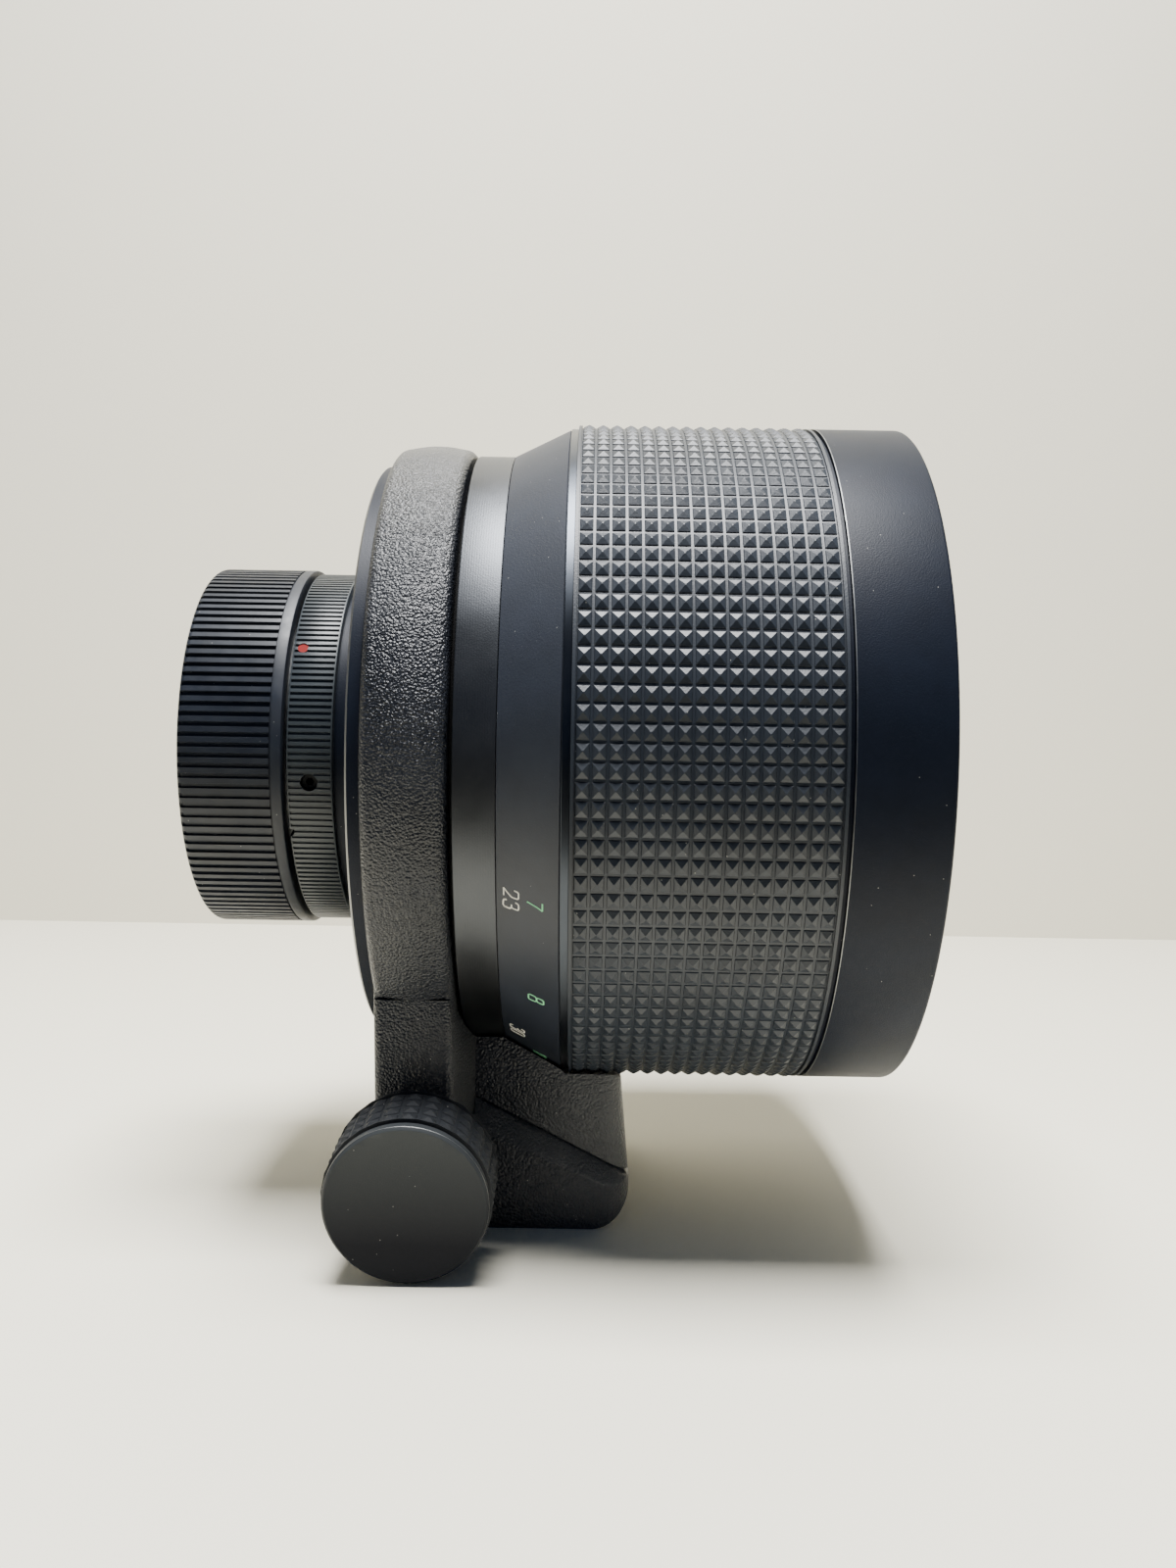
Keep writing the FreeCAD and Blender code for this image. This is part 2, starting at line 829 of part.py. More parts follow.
def front_barrel():
    """Outer front shell with the accessory thread inside its mouth."""
    web_rear = thread_floor - front_web_length
    return lifted(
        turned(
            [
                (shell_rear, front_shell_bore),
                (shell_rear, front_radius - front_chamfer),
                (shell_rear + front_chamfer, front_radius),
                (shell_front - front_chamfer, front_radius),
                (shell_front, front_radius - front_chamfer),
                (shell_front, filter_thread_radius),
                (thread_floor, filter_thread_radius),
                (thread_floor, helicoid_radius),
                (web_rear, helicoid_radius),
                (web_rear, front_shell_bore),
            ]
        )
    )


def corrector_vertexes():
    """Where the two faces of the front lens cross the axis."""
    clear = tube_radius - corrector_gap - corrector_land
    front = corrector_front + sag(corrector_front_curve, clear)
    rear = corrector_rear + sag(corrector_rear_curve, clear)
    return front, rear


def corrector_lens():
    """Full-width front lens, hollow towards the mirror, with a flat land for its retainer."""
    outer = tube_radius - corrector_gap
    clear = outer - corrector_land
    front, rear = corrector_vertexes()
    half = clear / 2
    return lifted(
        turned(
            [
                (rear, 0),
                (rear - sag(corrector_rear_curve, half), half, corrector_rear, clear),
                (corrector_rear, outer),
                (corrector_front, outer),
                (corrector_front, clear),
                (front - sag(corrector_front_curve, half), half, front, 0),
            ]
        )
    )


def front_retainer():
    """Threaded ring that holds the front lens in its cell."""
    inner = tube_radius - corrector_gap - corrector_land
    return lifted(tube(corrector_front, corrector_front + retainer_length, inner, tube_radius))


def secondary_mirror():
    """Small round mirror cemented to the back of the front lens."""
    rear_vertex = corrector_vertexes()[1]
    edge_x = rear_vertex - sag(corrector_rear_curve, secondary_radius)
    half = secondary_radius / 2
    back = rear_vertex - secondary_thickness
    return lifted(
        turned(
            [
                (back, 0),
                (back, secondary_radius),
                (edge_x, secondary_radius),
                (rear_vertex - sag(corrector_rear_curve, half), half, rear_vertex, 0),
            ]
        )
    )


def secondary_baffle():
    """Thin blackened tube round the small mirror."""
    inner = secondary_radius + secondary_baffle_gap
    outer = inner + secondary_baffle_wall
    front = corrector_vertexes()[1] - sag(corrector_rear_curve, outer)
    return lifted(tube(front - secondary_baffle_length, front, inner, outer))


def secondary_cover():
    """Black disc on the front lens that hides the back of the small mirror."""
    radius = secondary_radius + secondary_baffle_gap + secondary_baffle_wall + secondary_cover_overlap
    front_vertex = corrector_vertexes()[0]
    half = radius / 2
    top = front_vertex + secondary_cover_thickness
    return lifted(
        turned(
            [
                (front_vertex, 0),
                (front_vertex - sag(corrector_front_curve, half), half,
                 front_vertex - sag(corrector_front_curve, radius), radius),
                (top - sag(corrector_front_curve, radius), radius),
                (top - sag(corrector_front_curve, half), half, top, 0),
            ]
        )
    )


def guide_keys():
    """Keys on the main tube that let the front group slide but not turn."""
    top = helicoid_radius - key_top_gap
    x = key_centre()
    bar = block(x - key_length / 2, x + key_length / 2, -top, -tube_bore, -key_width / 2, key_width / 2)
    bar = bar.cut(rod(x - key_length, x + key_length, tube_radius))
    bar = bar.cut(radial_pin(x, 0, tube_bore, helicoid_radius, key_screw_radius))
    return lifted(group([round_the_axis(bar, angle) for angle in key_places()]))


def key_screws():
    """Small screws that hold the guide keys."""
    top = helicoid_radius - 2 * key_top_gap
    pins = [radial_pin(key_centre(), angle, tube_bore, top, key_screw_radius) for angle in key_places()]
    return lifted(group(pins))


def primary_mirror():
    """Thick ring-shaped glass whose rear face is the main mirror."""
    outer = tube_bore - primary_gap
    hole = primary_hole_radius
    rear_clear = tube_bore - spigot_wall - primary_gap
    front_clear = tube_bore - primary_retainer_wall - primary_gap
    rear_middle = (rear_clear + hole) / 2
    front_middle = (front_clear + hole) / 2
    rear_top = spigot_front - sag(primary_rear_curve, rear_clear)
    front_top = primary_front - sag(primary_front_curve, front_clear)
    return lifted(
        turned(
            [
                (rear_top + sag(primary_rear_curve, hole), hole),
                (rear_top + sag(primary_rear_curve, rear_middle), rear_middle, spigot_front, rear_clear),
                (spigot_front, outer),
                (primary_front, outer),
                (primary_front, front_clear),
                (front_top + sag(primary_front_curve, front_middle), front_middle,
                 front_top + sag(primary_front_curve, hole), hole),
            ]
        )
    )


def primary_retainer():
    """Threaded ring in front of the main mirror."""
    inner = tube_bore - primary_retainer_wall
    return lifted(tube(primary_front, primary_front + primary_retainer_length, inner, tube_bore))


def primary_baffle():
    """Tube through the hole of the main mirror, seated in the rear housing."""
    outer = primary_hole_radius - baffle_gap
    return lifted(tube(cell_front, primary_front + baffle_reach, outer - baffle_wall, outer))


cell_radius = adapter_thread_radius - thread_stub_wall
rear_lens_radius = cell_radius - cell_wall


def rear_cell():
    """Sleeve that holds the two rear lenses in the thread stub."""
    return lifted(tube(stub_rear, cell_front, rear_lens_radius, cell_radius))


def rear_lens(x_rear, x_front):
    """Rear lens with two hollow faces inside a flat rim."""
    clear = rear_lens_radius - rear_ring_wall
    half = clear / 2
    depth = sag(rear_lens_curve, clear)
    half_depth = depth - sag(rear_lens_curve, half)
    return lifted(
        turned(
            [
                (x_rear + depth, 0),
                (x_rear + half_depth, half, x_rear, clear),
                (x_rear, rear_lens_radius),
                (x_front, rear_lens_radius),
                (x_front, clear),
                (x_front - half_depth, half, x_front - depth, 0),
            ]
        )
    )


def rear_spacer():
    """Ring between the two rear lenses."""
    return lifted(tube(rear_spacer_rear, rear_lens_front_rear, rear_lens_radius - rear_ring_wall,
                       rear_lens_radius))


def rear_retainer():
    """Threaded ring behind the rear lenses."""
    return lifted(tube(stub_rear, rear_lens_back_rear, rear_lens_radius - rear_ring_wall, rear_lens_radius))


def filter_ring():
    """Ring of the rear filter, screwed against the end of the thread stub."""
    outer = cell_radius + filter_ring_wall / 2
    return lifted(tube(stub_rear - filter_ring_length, stub_rear, outer - filter_ring_wall, outer))


def filter_glass():
    """Plain glass of the rear filter."""
    radius = cell_radius - filter_ring_wall / 2
    middle = stub_rear - filter_ring_length / 2
    half = filter_glass_thickness / 2
    return lifted(rod(middle - half, middle + half, radius))


thread_ring_radius = adapter_thread_radius + thread_ring_wall
adapter_radius = thread_ring_radius + adapter_wall
throat_outer = throat_radius + throat_wall
lug_radius = throat_outer + lug_height


def adapter_thread_ring():
    """Inner ring of the adapter, screwed on the lens."""
    return lifted(tube(adapter_rear + adapter_flange, shoulder, adapter_thread_radius, thread_ring_radius))


def lug_places():
    """Angles of the bayonet lugs round the lens."""
    return [first_lug_angle + 360 / lug_count * index for index in range(lug_count)]


def grub_screw_places():
    """Angles of the grub screws round the adapter."""
    return [grub_screw_angle + 360 / grub_screw_count * index for index in range(grub_screw_count)]


def adapter_body():
    """Knurled outer ring of the adapter with the camera bayonet behind it."""
    body = turned(
        [
            (shoulder, thread_ring_radius),
            (shoulder, adapter_radius),
            (adapter_rear, adapter_radius),
            (adapter_rear, throat_outer),
            (bayonet_rear, throat_outer),
            (bayonet_rear, throat_radius),
            (adapter_rear + adapter_flange, throat_radius),
            (adapter_rear + adapter_flange, thread_ring_radius),
        ]
    )
    for angle in lug_places():
        lug = sector(bayonet_rear, bayonet_rear + lug_thickness, throat_outer - throat_wall / 2,
                     lug_radius, angle, lug_angle)
        body = body.fuse(lug)
    for angle in grub_screw_places():
        body = body.cut(radial_pin(shoulder - grub_screw_setback + adapter_flange, angle,
                                   thread_ring_radius, adapter_radius + overshoot, grub_screw_radius))
    recess = radial_pin(adapter_rear + dot_setback, dot_angle, adapter_radius - dot_depth,
                        adapter_radius + overshoot, dot_radius)
    notch = radial_pin(adapter_rear, notch_angle, thread_ring_radius, adapter_radius + overshoot,
                       notch_radius)
    return lifted(body.cut(recess).cut(notch).removeSplitter())


def adapter_screws():
    """Grub screws that fix the adapter body on its thread ring."""
    screws = []
    depth = (adapter_wall - grub_screw_sink) * hex_share
    for angle in grub_screw_places():
        screw = Part.makeCylinder(grub_screw_radius, adapter_wall - grub_screw_sink)
        recess = hex_socket(grub_screw_radius * 2 * hex_share, depth)
        recess.translate(Vector(0, 0, adapter_wall - grub_screw_sink - depth))
        screw = screw.cut(recess)
        out = outwards(angle)
        x = shoulder - grub_screw_setback + adapter_flange
        screw.Placement = FreeCAD.Placement(
            Vector(x, 0, 0) + out * thread_ring_radius, FreeCAD.Rotation(Vector(0, 0, 1), out)
        )
        screws.append(screw)
    return lifted(group(screws))


def alignment_dot():
    """Small coloured dot that is lined up with the camera's mark."""
    return lifted(radial_pin(adapter_rear + dot_setback, dot_angle, adapter_radius - dot_depth,
                             adapter_radius - dot_sink, dot_radius))


def rear_cap():
    """Cup-shaped cap with a smooth front flange and three small lugs inside."""
    bore = lug_radius + cap_inner_gap
    outer = bore + cap_wall
    edge = cap_edge_radius
    slack = edge * (1 - math.sqrt(0.5))
    groove = cap_front - cap_flange_length
    cap = turned(
        [
            (cap_rear + cap_floor, 0),
            (cap_rear + cap_floor, bore),
            (cap_front, bore),
            (cap_front, outer - edge / 2),
            (cap_front - edge / 2, outer),
            (groove, outer),
            (groove, outer - cap_groove_depth),
            (groove - cap_groove_width, outer - cap_groove_depth),
            (groove - cap_groove_width, outer),
            (cap_rear + edge, outer),
            (cap_rear + slack, outer - slack, cap_rear, outer - edge),
            (cap_rear, outer - cap_recess_margin),
            (cap_rear + cap_recess_depth, outer - cap_recess_margin - cap_recess_depth),
            (cap_rear + cap_recess_depth, 0),
        ]
    )
    lug_front = cap_front - cap_lug_setback
    half_turn = 180 / lug_count
    for angle in lug_places():
        lug = sector(lug_front - cap_lug_thickness, lug_front, throat_outer + cap_lug_gap,
                     bore + cap_wall / 2, angle + half_turn, cap_lug_angle)
        cap = cap.fuse(lug)
    return lifted(cap.removeSplitter())


def nodes():
    """Every sub-part by its node name."""
    return {
        "collar": collar(),
        "foot_base": foot_base(),
        "tripod_bush": tripod_bush(),
        "foot_screws": foot_screws(),
        "clamp_bush": clamp_bush(),
        "thrust_washer": thrust_washer(),
        "knob_body": knob_body(),
        "knob_grip": knob_grip(),
        "clamp_screw": clamp_screw(),
        "rear_housing": rear_housing(),
        "main_tube": main_tube(),
        "index_ring": index_ring(),
        "primary_mirror": primary_mirror(),
        "primary_retainer": primary_retainer(),
        "primary_baffle": primary_baffle(),
        "rear_cell": rear_cell(),
        "rear_lens_front": rear_lens(rear_lens_front_rear, cell_front),
        "rear_spacer": rear_spacer(),
        "rear_lens_back": rear_lens(rear_lens_back_rear, rear_spacer_rear),
        "rear_retainer": rear_retainer(),
        "filter_ring": filter_ring(),
        "filter_glass": filter_glass(),
        "guide_keys": guide_keys(),
        "key_screws": key_screws(),
        "adapter_thread_ring": adapter_thread_ring(),
        "adapter_body": adapter_body(),
        "adapter_screws": adapter_screws(),
        "alignment_dot": alignment_dot(),
        "focus_ring": focus_ring(),
        "focus_grip": focus_grip(),
        "grip_trim_ring": grip_trim_ring(),
        "focus_stop_pin": focus_stop_pin(),
        "front_helicoid": front_helicoid(),
        "front_barrel": front_barrel(),
        "corrector_lens": corrector_lens(),
        "front_retainer": front_retainer(),
        "secondary_mirror": secondary_mirror(),
        "secondary_baffle": secondary_baffle(),
        "secondary_cover": secondary_cover(),
        "rear_cap": rear_cap(),
    }


os.makedirs("parts", exist_ok=True)
for name, shape in nodes().items():
    for solid in shape.Solids:
        assert solid.isValid() and solid.Volume > 0, name
    shape.exportStep(os.path.join("parts", name + ".step"))
    print(f"{name}: {len(shape.Solids)} solids, {shape.Volume:.1f} mm3")
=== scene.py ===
"""Mirror lens on a tripod collar: the pieces, finishes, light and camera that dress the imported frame.

Metres, in the frame of the part: the lens axis runs along X with the front at +X, +Z is up, and the floor
is at Z = 0. Angles round the lens are counted from the -Y side, up towards +Z.
"""

import json
import math

import bmesh
import bpy
from mathutils import Matrix, Vector


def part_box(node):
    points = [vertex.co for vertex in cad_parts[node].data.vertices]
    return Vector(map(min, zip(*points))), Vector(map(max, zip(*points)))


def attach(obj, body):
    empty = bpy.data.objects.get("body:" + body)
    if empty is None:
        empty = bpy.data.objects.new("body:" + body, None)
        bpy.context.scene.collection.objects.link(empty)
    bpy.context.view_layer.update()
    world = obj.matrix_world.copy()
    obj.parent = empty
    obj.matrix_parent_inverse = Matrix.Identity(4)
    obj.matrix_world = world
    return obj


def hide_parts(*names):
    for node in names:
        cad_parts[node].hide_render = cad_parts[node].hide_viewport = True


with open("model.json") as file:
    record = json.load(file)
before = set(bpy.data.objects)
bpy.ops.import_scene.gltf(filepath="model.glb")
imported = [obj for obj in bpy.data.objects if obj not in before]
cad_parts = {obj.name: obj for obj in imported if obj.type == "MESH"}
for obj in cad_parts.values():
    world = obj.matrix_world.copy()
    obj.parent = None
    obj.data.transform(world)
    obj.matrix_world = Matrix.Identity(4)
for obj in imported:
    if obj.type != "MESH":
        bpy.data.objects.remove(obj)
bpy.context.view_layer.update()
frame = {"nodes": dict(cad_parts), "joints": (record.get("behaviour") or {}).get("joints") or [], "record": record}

bl_info = {
    "name": "Mirror lens",
    "version": (1, 0, 0),
    "blender": (4, 5, 0),
    "location": "View3D > Sidebar > Mirror lens",
    "description": "Builds a mirror lens with its tripod collar, camera adapter and rear cap",
    "category": "Object",
}

MM = 0.001

# Points that are closer than this are one point
SMALLEST = 1e-6

THIRD_OF_A_TURN = 120.0


def extent(node):
    """First and last place of a turned node along the lens axis, and its radius."""
    low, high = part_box(node)
    return low[0], high[0], (high[1] - low[1]) / 2


def axis_height():
    """Height of the lens axis above the floor."""
    low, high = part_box("main_tube")
    return (low[2] + high[2]) / 2


def linear(hex_colour):
    """Linear colour, with alpha, from an sRGB hex value such as #808080."""
    channels = []
    for start in (1, 3, 5):
        value = int(hex_colour[start:start + 2], 16) / 255
        if value <= 0.04045:
            channels.append(value / 12.92)
        else:
            channels.append(((value + 0.055) / 1.055) ** 2.4)
    return (*channels, 1.0)


def length(title, about, millimetres):
    """Property for a size of the lens, given in millimetres."""
    return bpy.props.FloatProperty(name=title, description=about, default=millimetres * MM, min=0.0,
                                   unit="LENGTH", subtype="DISTANCE", precision=5)


def count(title, about, number):
    """Property for a number of like features."""
    return bpy.props.IntProperty(name=title, description=about, default=number, min=3)


def colour(title, about, hex_colour):
    """Property for a colour of a finish."""
    return bpy.props.FloatVectorProperty(name=title, description=about, subtype="COLOR", size=4,
                                         min=0.0, max=1.0, default=linear(hex_colour))


class LensSizes(bpy.types.PropertyGroup):
    """Sizes that only the look of the lens needs. The main sizes come from the frame."""

    cap_ribs: count("Cap ribs", "Straight ribs round the rear cap", 120)
    cap_rib_depth: length("Cap rib depth", "Depth of the grooves between the ribs of the cap", 0.45)
    cap_rib_slope: length("Cap rib slope", "How far the flank of a cap rib leans", 0.12)
    cap_wall: length("Cap wall", "Thickness of the wall of the cap", 2.65)
    cap_floor: length("Cap floor", "Thickness of the floor of the cap", 2.0)
    cap_flange: length("Cap flange", "Width of the smooth band at the front of the cap", 1.5)
    adapter_ribs: count("Adapter ribs", "Fine ribs round the camera adapter", 180)
    adapter_rib_depth: length("Adapter rib depth", "Depth of the knurl of the adapter", 0.3)
    grip_rows: count("Grip rows", "Rows of pyramids along the rubber grip", 16)
    grip_around: count("Grip pyramids", "Pyramids in each ring of the rubber grip", 131)
    grip_margin: length("Grip margin", "Smooth lip at both ends of the rubber grip", 0.45)
    grip_valley: length("Grip valley", "Flat valley on each side of a pyramid of the grip", 0.18)
    grip_pyramid: length("Grip pyramid height", "Height of a pyramid of the grip", 0.56)
    knob_rows: count("Knob rows", "Rows of pyramids along the rubber of the knob", 4)
    knob_around: count("Knob pyramids", "Pyramids in each ring of the rubber of the knob", 27)
    knob_pyramid: length("Knob pyramid height", "Height of a pyramid of the knob", 0.62)
    edge_break: length("Edge break", "Rounding of the machined edges", 0.15)
    seam_gap: length("Seam gap", "Dark line between the saddle and the foot", 0.4)
    rim_edge: length("Rim edge", "Worn edge of the rim behind the collar", 0.3)
    casting_edge: length("Casting edge", "Rounding of the edges of the castings", 0.25)
    figure_height: length("Figure height", "Height of the figures of the distance scale", 2.1)
    figure_width: length("Figure width", "Width of a figure of the distance scale", 1.25)
    figure_stroke: length("Figure stroke", "Width of the stroke of a figure", 0.29)


class LensColours(bpy.types.PropertyGroup):
    """Colours of the finishes."""

    casting_paint: colour("Casting paint", "Black wrinkle enamel of the collar and its foot", "#181b22")
    barrel_black: colour("Barrel", "Black anodised front barrel", "#121824")
    index_black: colour("Index ring", "Satin turned index ring, anodised black", "#4b4d50")
    cone_black: colour("Scale cone", "Matte anodised scale cone", "#232832")
    grip_rubber: colour("Rubber", "Moulded rubber of the grip", "#242a32")
    cap_plastic: colour("Cap plastic", "Moulded plastic of the rear cap", "#1a1f28")
    adapter_grey: colour("Adapter", "Anodised camera adapter", "#33393d")
    knob_plate: colour("Knob plate", "Painted face of the knob", "#080b13")
    metre_green: colour("Metre figures", "Enamel of the metre figures", "#97ecb2")
    feet_cream: colour("Feet figures", "Enamel of the feet figures", "#fffcf0")
    wall_paper: colour("Wall", "Pale paper behind the lens", "#e7e2d1")
    floor_paper: colour("Floor", "Pale paper under the lens", "#f4efdc")


def sizes():
    """The sizes that this scene uses."""
    return bpy.context.scene.mirror_lens_sizes


def colours():
    """The colours that this scene uses."""
    return bpy.context.scene.mirror_lens_colours


# Meshes


def spun(outline, steps, turn=360.0, start=0.0, closed=True):
    """Turns an outline of (place along the axis, radius) round the X axis, from an angle round the lens."""
    bm = bmesh.new()
    points = [bm.verts.new((x, 0.0, r)) for x, r in outline]
    edges = [bm.edges.new(pair) for pair in zip(points, points[1:])]
    if closed:
        edges.append(bm.edges.new((points[-1], points[0])))
    full = turn == 360.0
    if not full:
        to_start = Matrix.Rotation(math.radians(90 - start), 3, "X")
        bmesh.ops.rotate(bm, verts=points, cent=(0, 0, 0), matrix=to_start)
        if closed:
            bmesh.ops.contextual_create(bm, geom=edges)
    faces = list(bm.faces)
    bmesh.ops.spin(bm, geom=points + edges + faces, cent=(0, 0, 0), axis=(1, 0, 0),
                   angle=-math.radians(turn), steps=steps, use_merge=full)
    bmesh.ops.remove_doubles(bm, verts=bm.verts, dist=SMALLEST)
    bmesh.ops.recalc_face_normals(bm, faces=bm.faces)
    return bm


def ring(x_from, x_to, inner, outer, steps):
    """Plain ring about the X axis."""
    return spun([(x_from, inner), (x_from, outer), (x_to, outer), (x_to, inner)], steps)


# Degrees in a step of a part of a ring, and the fewest steps that one has
ARC_STEP = 3.0
FEWEST_ARC_STEPS = 4


def arc_block(x_from, x_to, inner, outer, centre, width):
    """Part of a ring, width degrees long and centred at an angle round the lens."""
    outline = [(x_from, inner), (x_from, outer), (x_to, outer), (x_to, inner)]
    steps = max(FEWEST_ARC_STEPS, int(width / ARC_STEP))
    return spun(outline, steps, turn=width, start=centre - width / 2)


def radius_of(point):
    """Distance of a point from the X axis."""
    return math.hypot(point.y, point.z)


def sharp_edges(bm, limit=30.0, within=None, beyond=0.0):
    """Edges that turn by more than limit degrees, in a stretch of the axis and beyond a radius."""
    found = []
    for edge in bm.edges:
        if len(edge.link_faces) != 2 or edge.calc_face_angle(0.0) < math.radians(limit):
            continue
        middle = (edge.verts[0].co + edge.verts[1].co) / 2
        if (within is None or within[0] <= middle.x <= within[1]) and radius_of(middle) >= beyond:
            found.append(edge)
    return found


def soften(bm, width, segments=2, limit=30.0, within=None, beyond=0.0):
    """Rounds the sharp edges, all of them or those in a stretch of the axis and beyond a radius."""
    edges = sharp_edges(bm, limit, within, beyond)
    bmesh.ops.bevel(bm, geom=edges, offset=width, offset_type="OFFSET", segments=segments, profile=0.5,
                    affect="EDGES", clamp_overlap=True, material=-1)
    return bm


def joined(meshes):
    """One mesh from several, each an island of its own."""
    whole = bmesh.new()
    for bm in meshes:
        part = bpy.data.meshes.new("part")
        bm.to_mesh(part)
        bm.free()
        whole.from_mesh(part)
        bpy.data.meshes.remove(part)
    return whole


def lifted(bm):
    """Moves a mesh made about the X axis up to the lens axis."""
    bmesh.ops.translate(bm, verts=bm.verts, vec=(0, 0, axis_height()))
    return bm


def on_axis(bm, place, direction):
    """Moves a mesh made about the X axis to another axis, with +X turned into direction."""
    turn = Vector((1, 0, 0)).rotation_difference(Vector(direction))
    bmesh.ops.transform(bm, matrix=Matrix.Translation(place) @ turn.to_matrix().to_4x4(), verts=bm.verts)
    return bm


def outwards(angle):
    """Unit vector away from the lens axis at this angle round the lens."""
    turn = math.radians(angle)
    return Vector((0, -math.cos(turn), math.sin(turn)))


def column_of(face, steps):
    """Which of the steps of a full spin a face belongs to."""
    middle = face.calc_center_median()
    turn = math.atan2(middle.z, middle.y) % (2 * math.pi)
    return int(turn / (2 * math.pi) * steps)


def rib(bm, steps, x_from, x_to, lowest, slope, depth):
    """Sinks every other column of the outer wall between two places, which leaves straight ribs."""
    grooves = []
    for face in bm.faces:
        middle = face.calc_center_median()
        if x_from < middle.x < x_to and radius_of(middle) > lowest and column_of(face, steps) % 2:
            grooves.append(face)
    bmesh.ops.inset_region(bm, faces=grooves, thickness=slope, depth=-depth, use_boundary=True,
                           use_even_offset=True)
    return bm


# Shares of the height of a pyramid: its steep foot, its blunt tip, and how far the lips lie below the tip
FOOT_SHARE = 0.26
TIP_SHARE = 0.24
LIP_SHARE = 0.25

# How far the steep foot leans in, as a share of its own height
FOOT_LEAN = 0.6

# A face of the outer wall leans less than this along the axis
WALL_LEAN = 0.5


def pyramid_sleeve(rear, front, inner, outer, rows, around, margin, valley, height):
    """Rubber sleeve with rings of small pyramids, each on a steep foot, between two smooth lips."""
    base = outer - height
    lip = outer - height * LIP_SHARE
    first, last = rear + margin, front - margin
    pitch = (last - first) / rows
    outline = [(rear, inner), (rear, lip), (first, lip)]
    outline += [(first + pitch * index, base) for index in range(rows + 1)]
    outline += [(last, lip), (front, lip), (front, inner)]
    bm = spun(outline, around)
    cells = []
    for face in bm.faces:
        middle = face.calc_center_median()
        outside = radius_of(middle) > (inner + base) / 2 and abs(face.normal.x) < WALL_LEAN
        if outside and first < middle.x < last:
            cells.append(face)
    bmesh.ops.inset_individual(bm, faces=cells, thickness=valley, depth=0.0, use_even_offset=True)
    foot = height * FOOT_SHARE
    bmesh.ops.inset_individual(bm, faces=cells, thickness=foot * FOOT_LEAN, depth=foot,
                               use_even_offset=True)
    poked = bmesh.ops.poke(bm, faces=cells, offset=height - foot, center_mode="MEAN",
                           use_relative_offset=False)
    bmesh.ops.bevel(bm, geom=poked["verts"], offset=height * TIP_SHARE, offset_type="OFFSET", segments=1,
                    profile=0.5, affect="VERTICES", clamp_overlap=True, material=-1)
    return bm


# Faces that meet at less than this angle, in degrees, are one flat face
FLAT_LIMIT = 1.0


def node_copy(node):
    """Copy of a node's mesh, merged and with its flat faces whole again."""
    bm = bmesh.new()
    bm.from_mesh(frame["nodes"][node].data)
    bmesh.ops.remove_doubles(bm, verts=bm.verts, dist=2 * SMALLEST)
    bmesh.ops.dissolve_limit(bm, angle_limit=math.radians(FLAT_LIMIT), use_dissolve_boundaries=False,
                             verts=bm.verts, edges=bm.edges, delimit=set())
    return bm


def slot_of(node):
    """Name of the material slot that the record gives a node."""
    for part in frame["record"]["subparts"]:
        if part["node"] == node:
            return part["material_slot"]
    raise RuntimeError(f"The record gives no slot for {node}")


def piece(name, bm, body, materials, nodes=(), sharp=32.0):
    """Makes the finished object, which rides on a body and may stand for nodes of the frame."""
    mesh = bpy.data.meshes.new(name)
    bm.to_mesh(mesh)
    bm.free()
    mesh.shade_smooth()
    mesh.set_sharp_from_angle(angle=math.radians(sharp))
    for material in materials:
        mesh.materials.append(material)
    made = bpy.data.objects.new(name, mesh)
    bpy.context.scene.collection.objects.link(made)
    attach(made, body)
    if nodes:
        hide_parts(*nodes)
    return made


def bored(bm, cutters):
    """Cuts bodies out of a mesh."""
    work = bpy.data.meshes.new("work")
    bm.to_mesh(work)
    bm.free()
    tool = bpy.data.meshes.new("tool")
    whole = joined(cutters)
    whole.to_mesh(tool)
    whole.free()
    host = bpy.data.objects.new("work", work)
    knife = bpy.data.objects.new("tool", tool)
    for thing in (host, knife):
        bpy.context.scene.collection.objects.link(thing)
    cut = host.modifiers.new("Cut", "BOOLEAN")
    cut.operation = "DIFFERENCE"
    cut.solver = "EXACT"
    cut.object = knife
    bpy.context.view_layer.update()
    made = bpy.data.meshes.new_from_object(host.evaluated_get(bpy.context.evaluated_depsgraph_get()))
    result = bmesh.new()
    result.from_mesh(made)
    for thing in (host, knife):
        bpy.data.objects.remove(thing)
    for mesh in (work, tool, made):
        bpy.data.meshes.remove(mesh)
    return result


def rim_of(bm, material_index, x_from, x_to, r_from, r_to):
    """Gives the faces in a band of the axis and of the radius another material."""
    for face in bm.faces:
        middle = face.calc_center_median()
        if x_from < middle.x < x_to and r_from < radius_of(middle) < r_to:
            face.material_index = material_index
    return bm


# Materials


def add(tree, kind, inputs=None, **settings):
    """Adds a node, makes its settings, and gives its inputs their values or links."""
    node = tree.nodes.new(kind)
    for key, value in settings.items():
        setattr(node, key, value)
    for key, value in (inputs or {}).items():
        if isinstance(value, bpy.types.NodeSocket):
            tree.links.new(value, node.inputs[key])
        else:
            node.inputs[key].default_value = value
    return node


def new_material(name, inputs):
    """Material with one surface shader, and the node that gives the place on the object."""
    material = bpy.data.materials.new(name)
    material.use_nodes = True
    tree = material.node_tree
    tree.nodes.clear()
    place = add(tree, "ShaderNodeTexCoord")
    shader = add(tree, "ShaderNodeBsdfPrincipled", inputs)
    add(tree, "ShaderNodeOutputMaterial", {"Surface": shader.outputs["BSDF"]})
    return material, tree, shader, place.outputs["Object"]


def per_metre(millimetres):
    """Texture scale for a pattern of this size."""
    return 1.0 / (millimetres * MM)


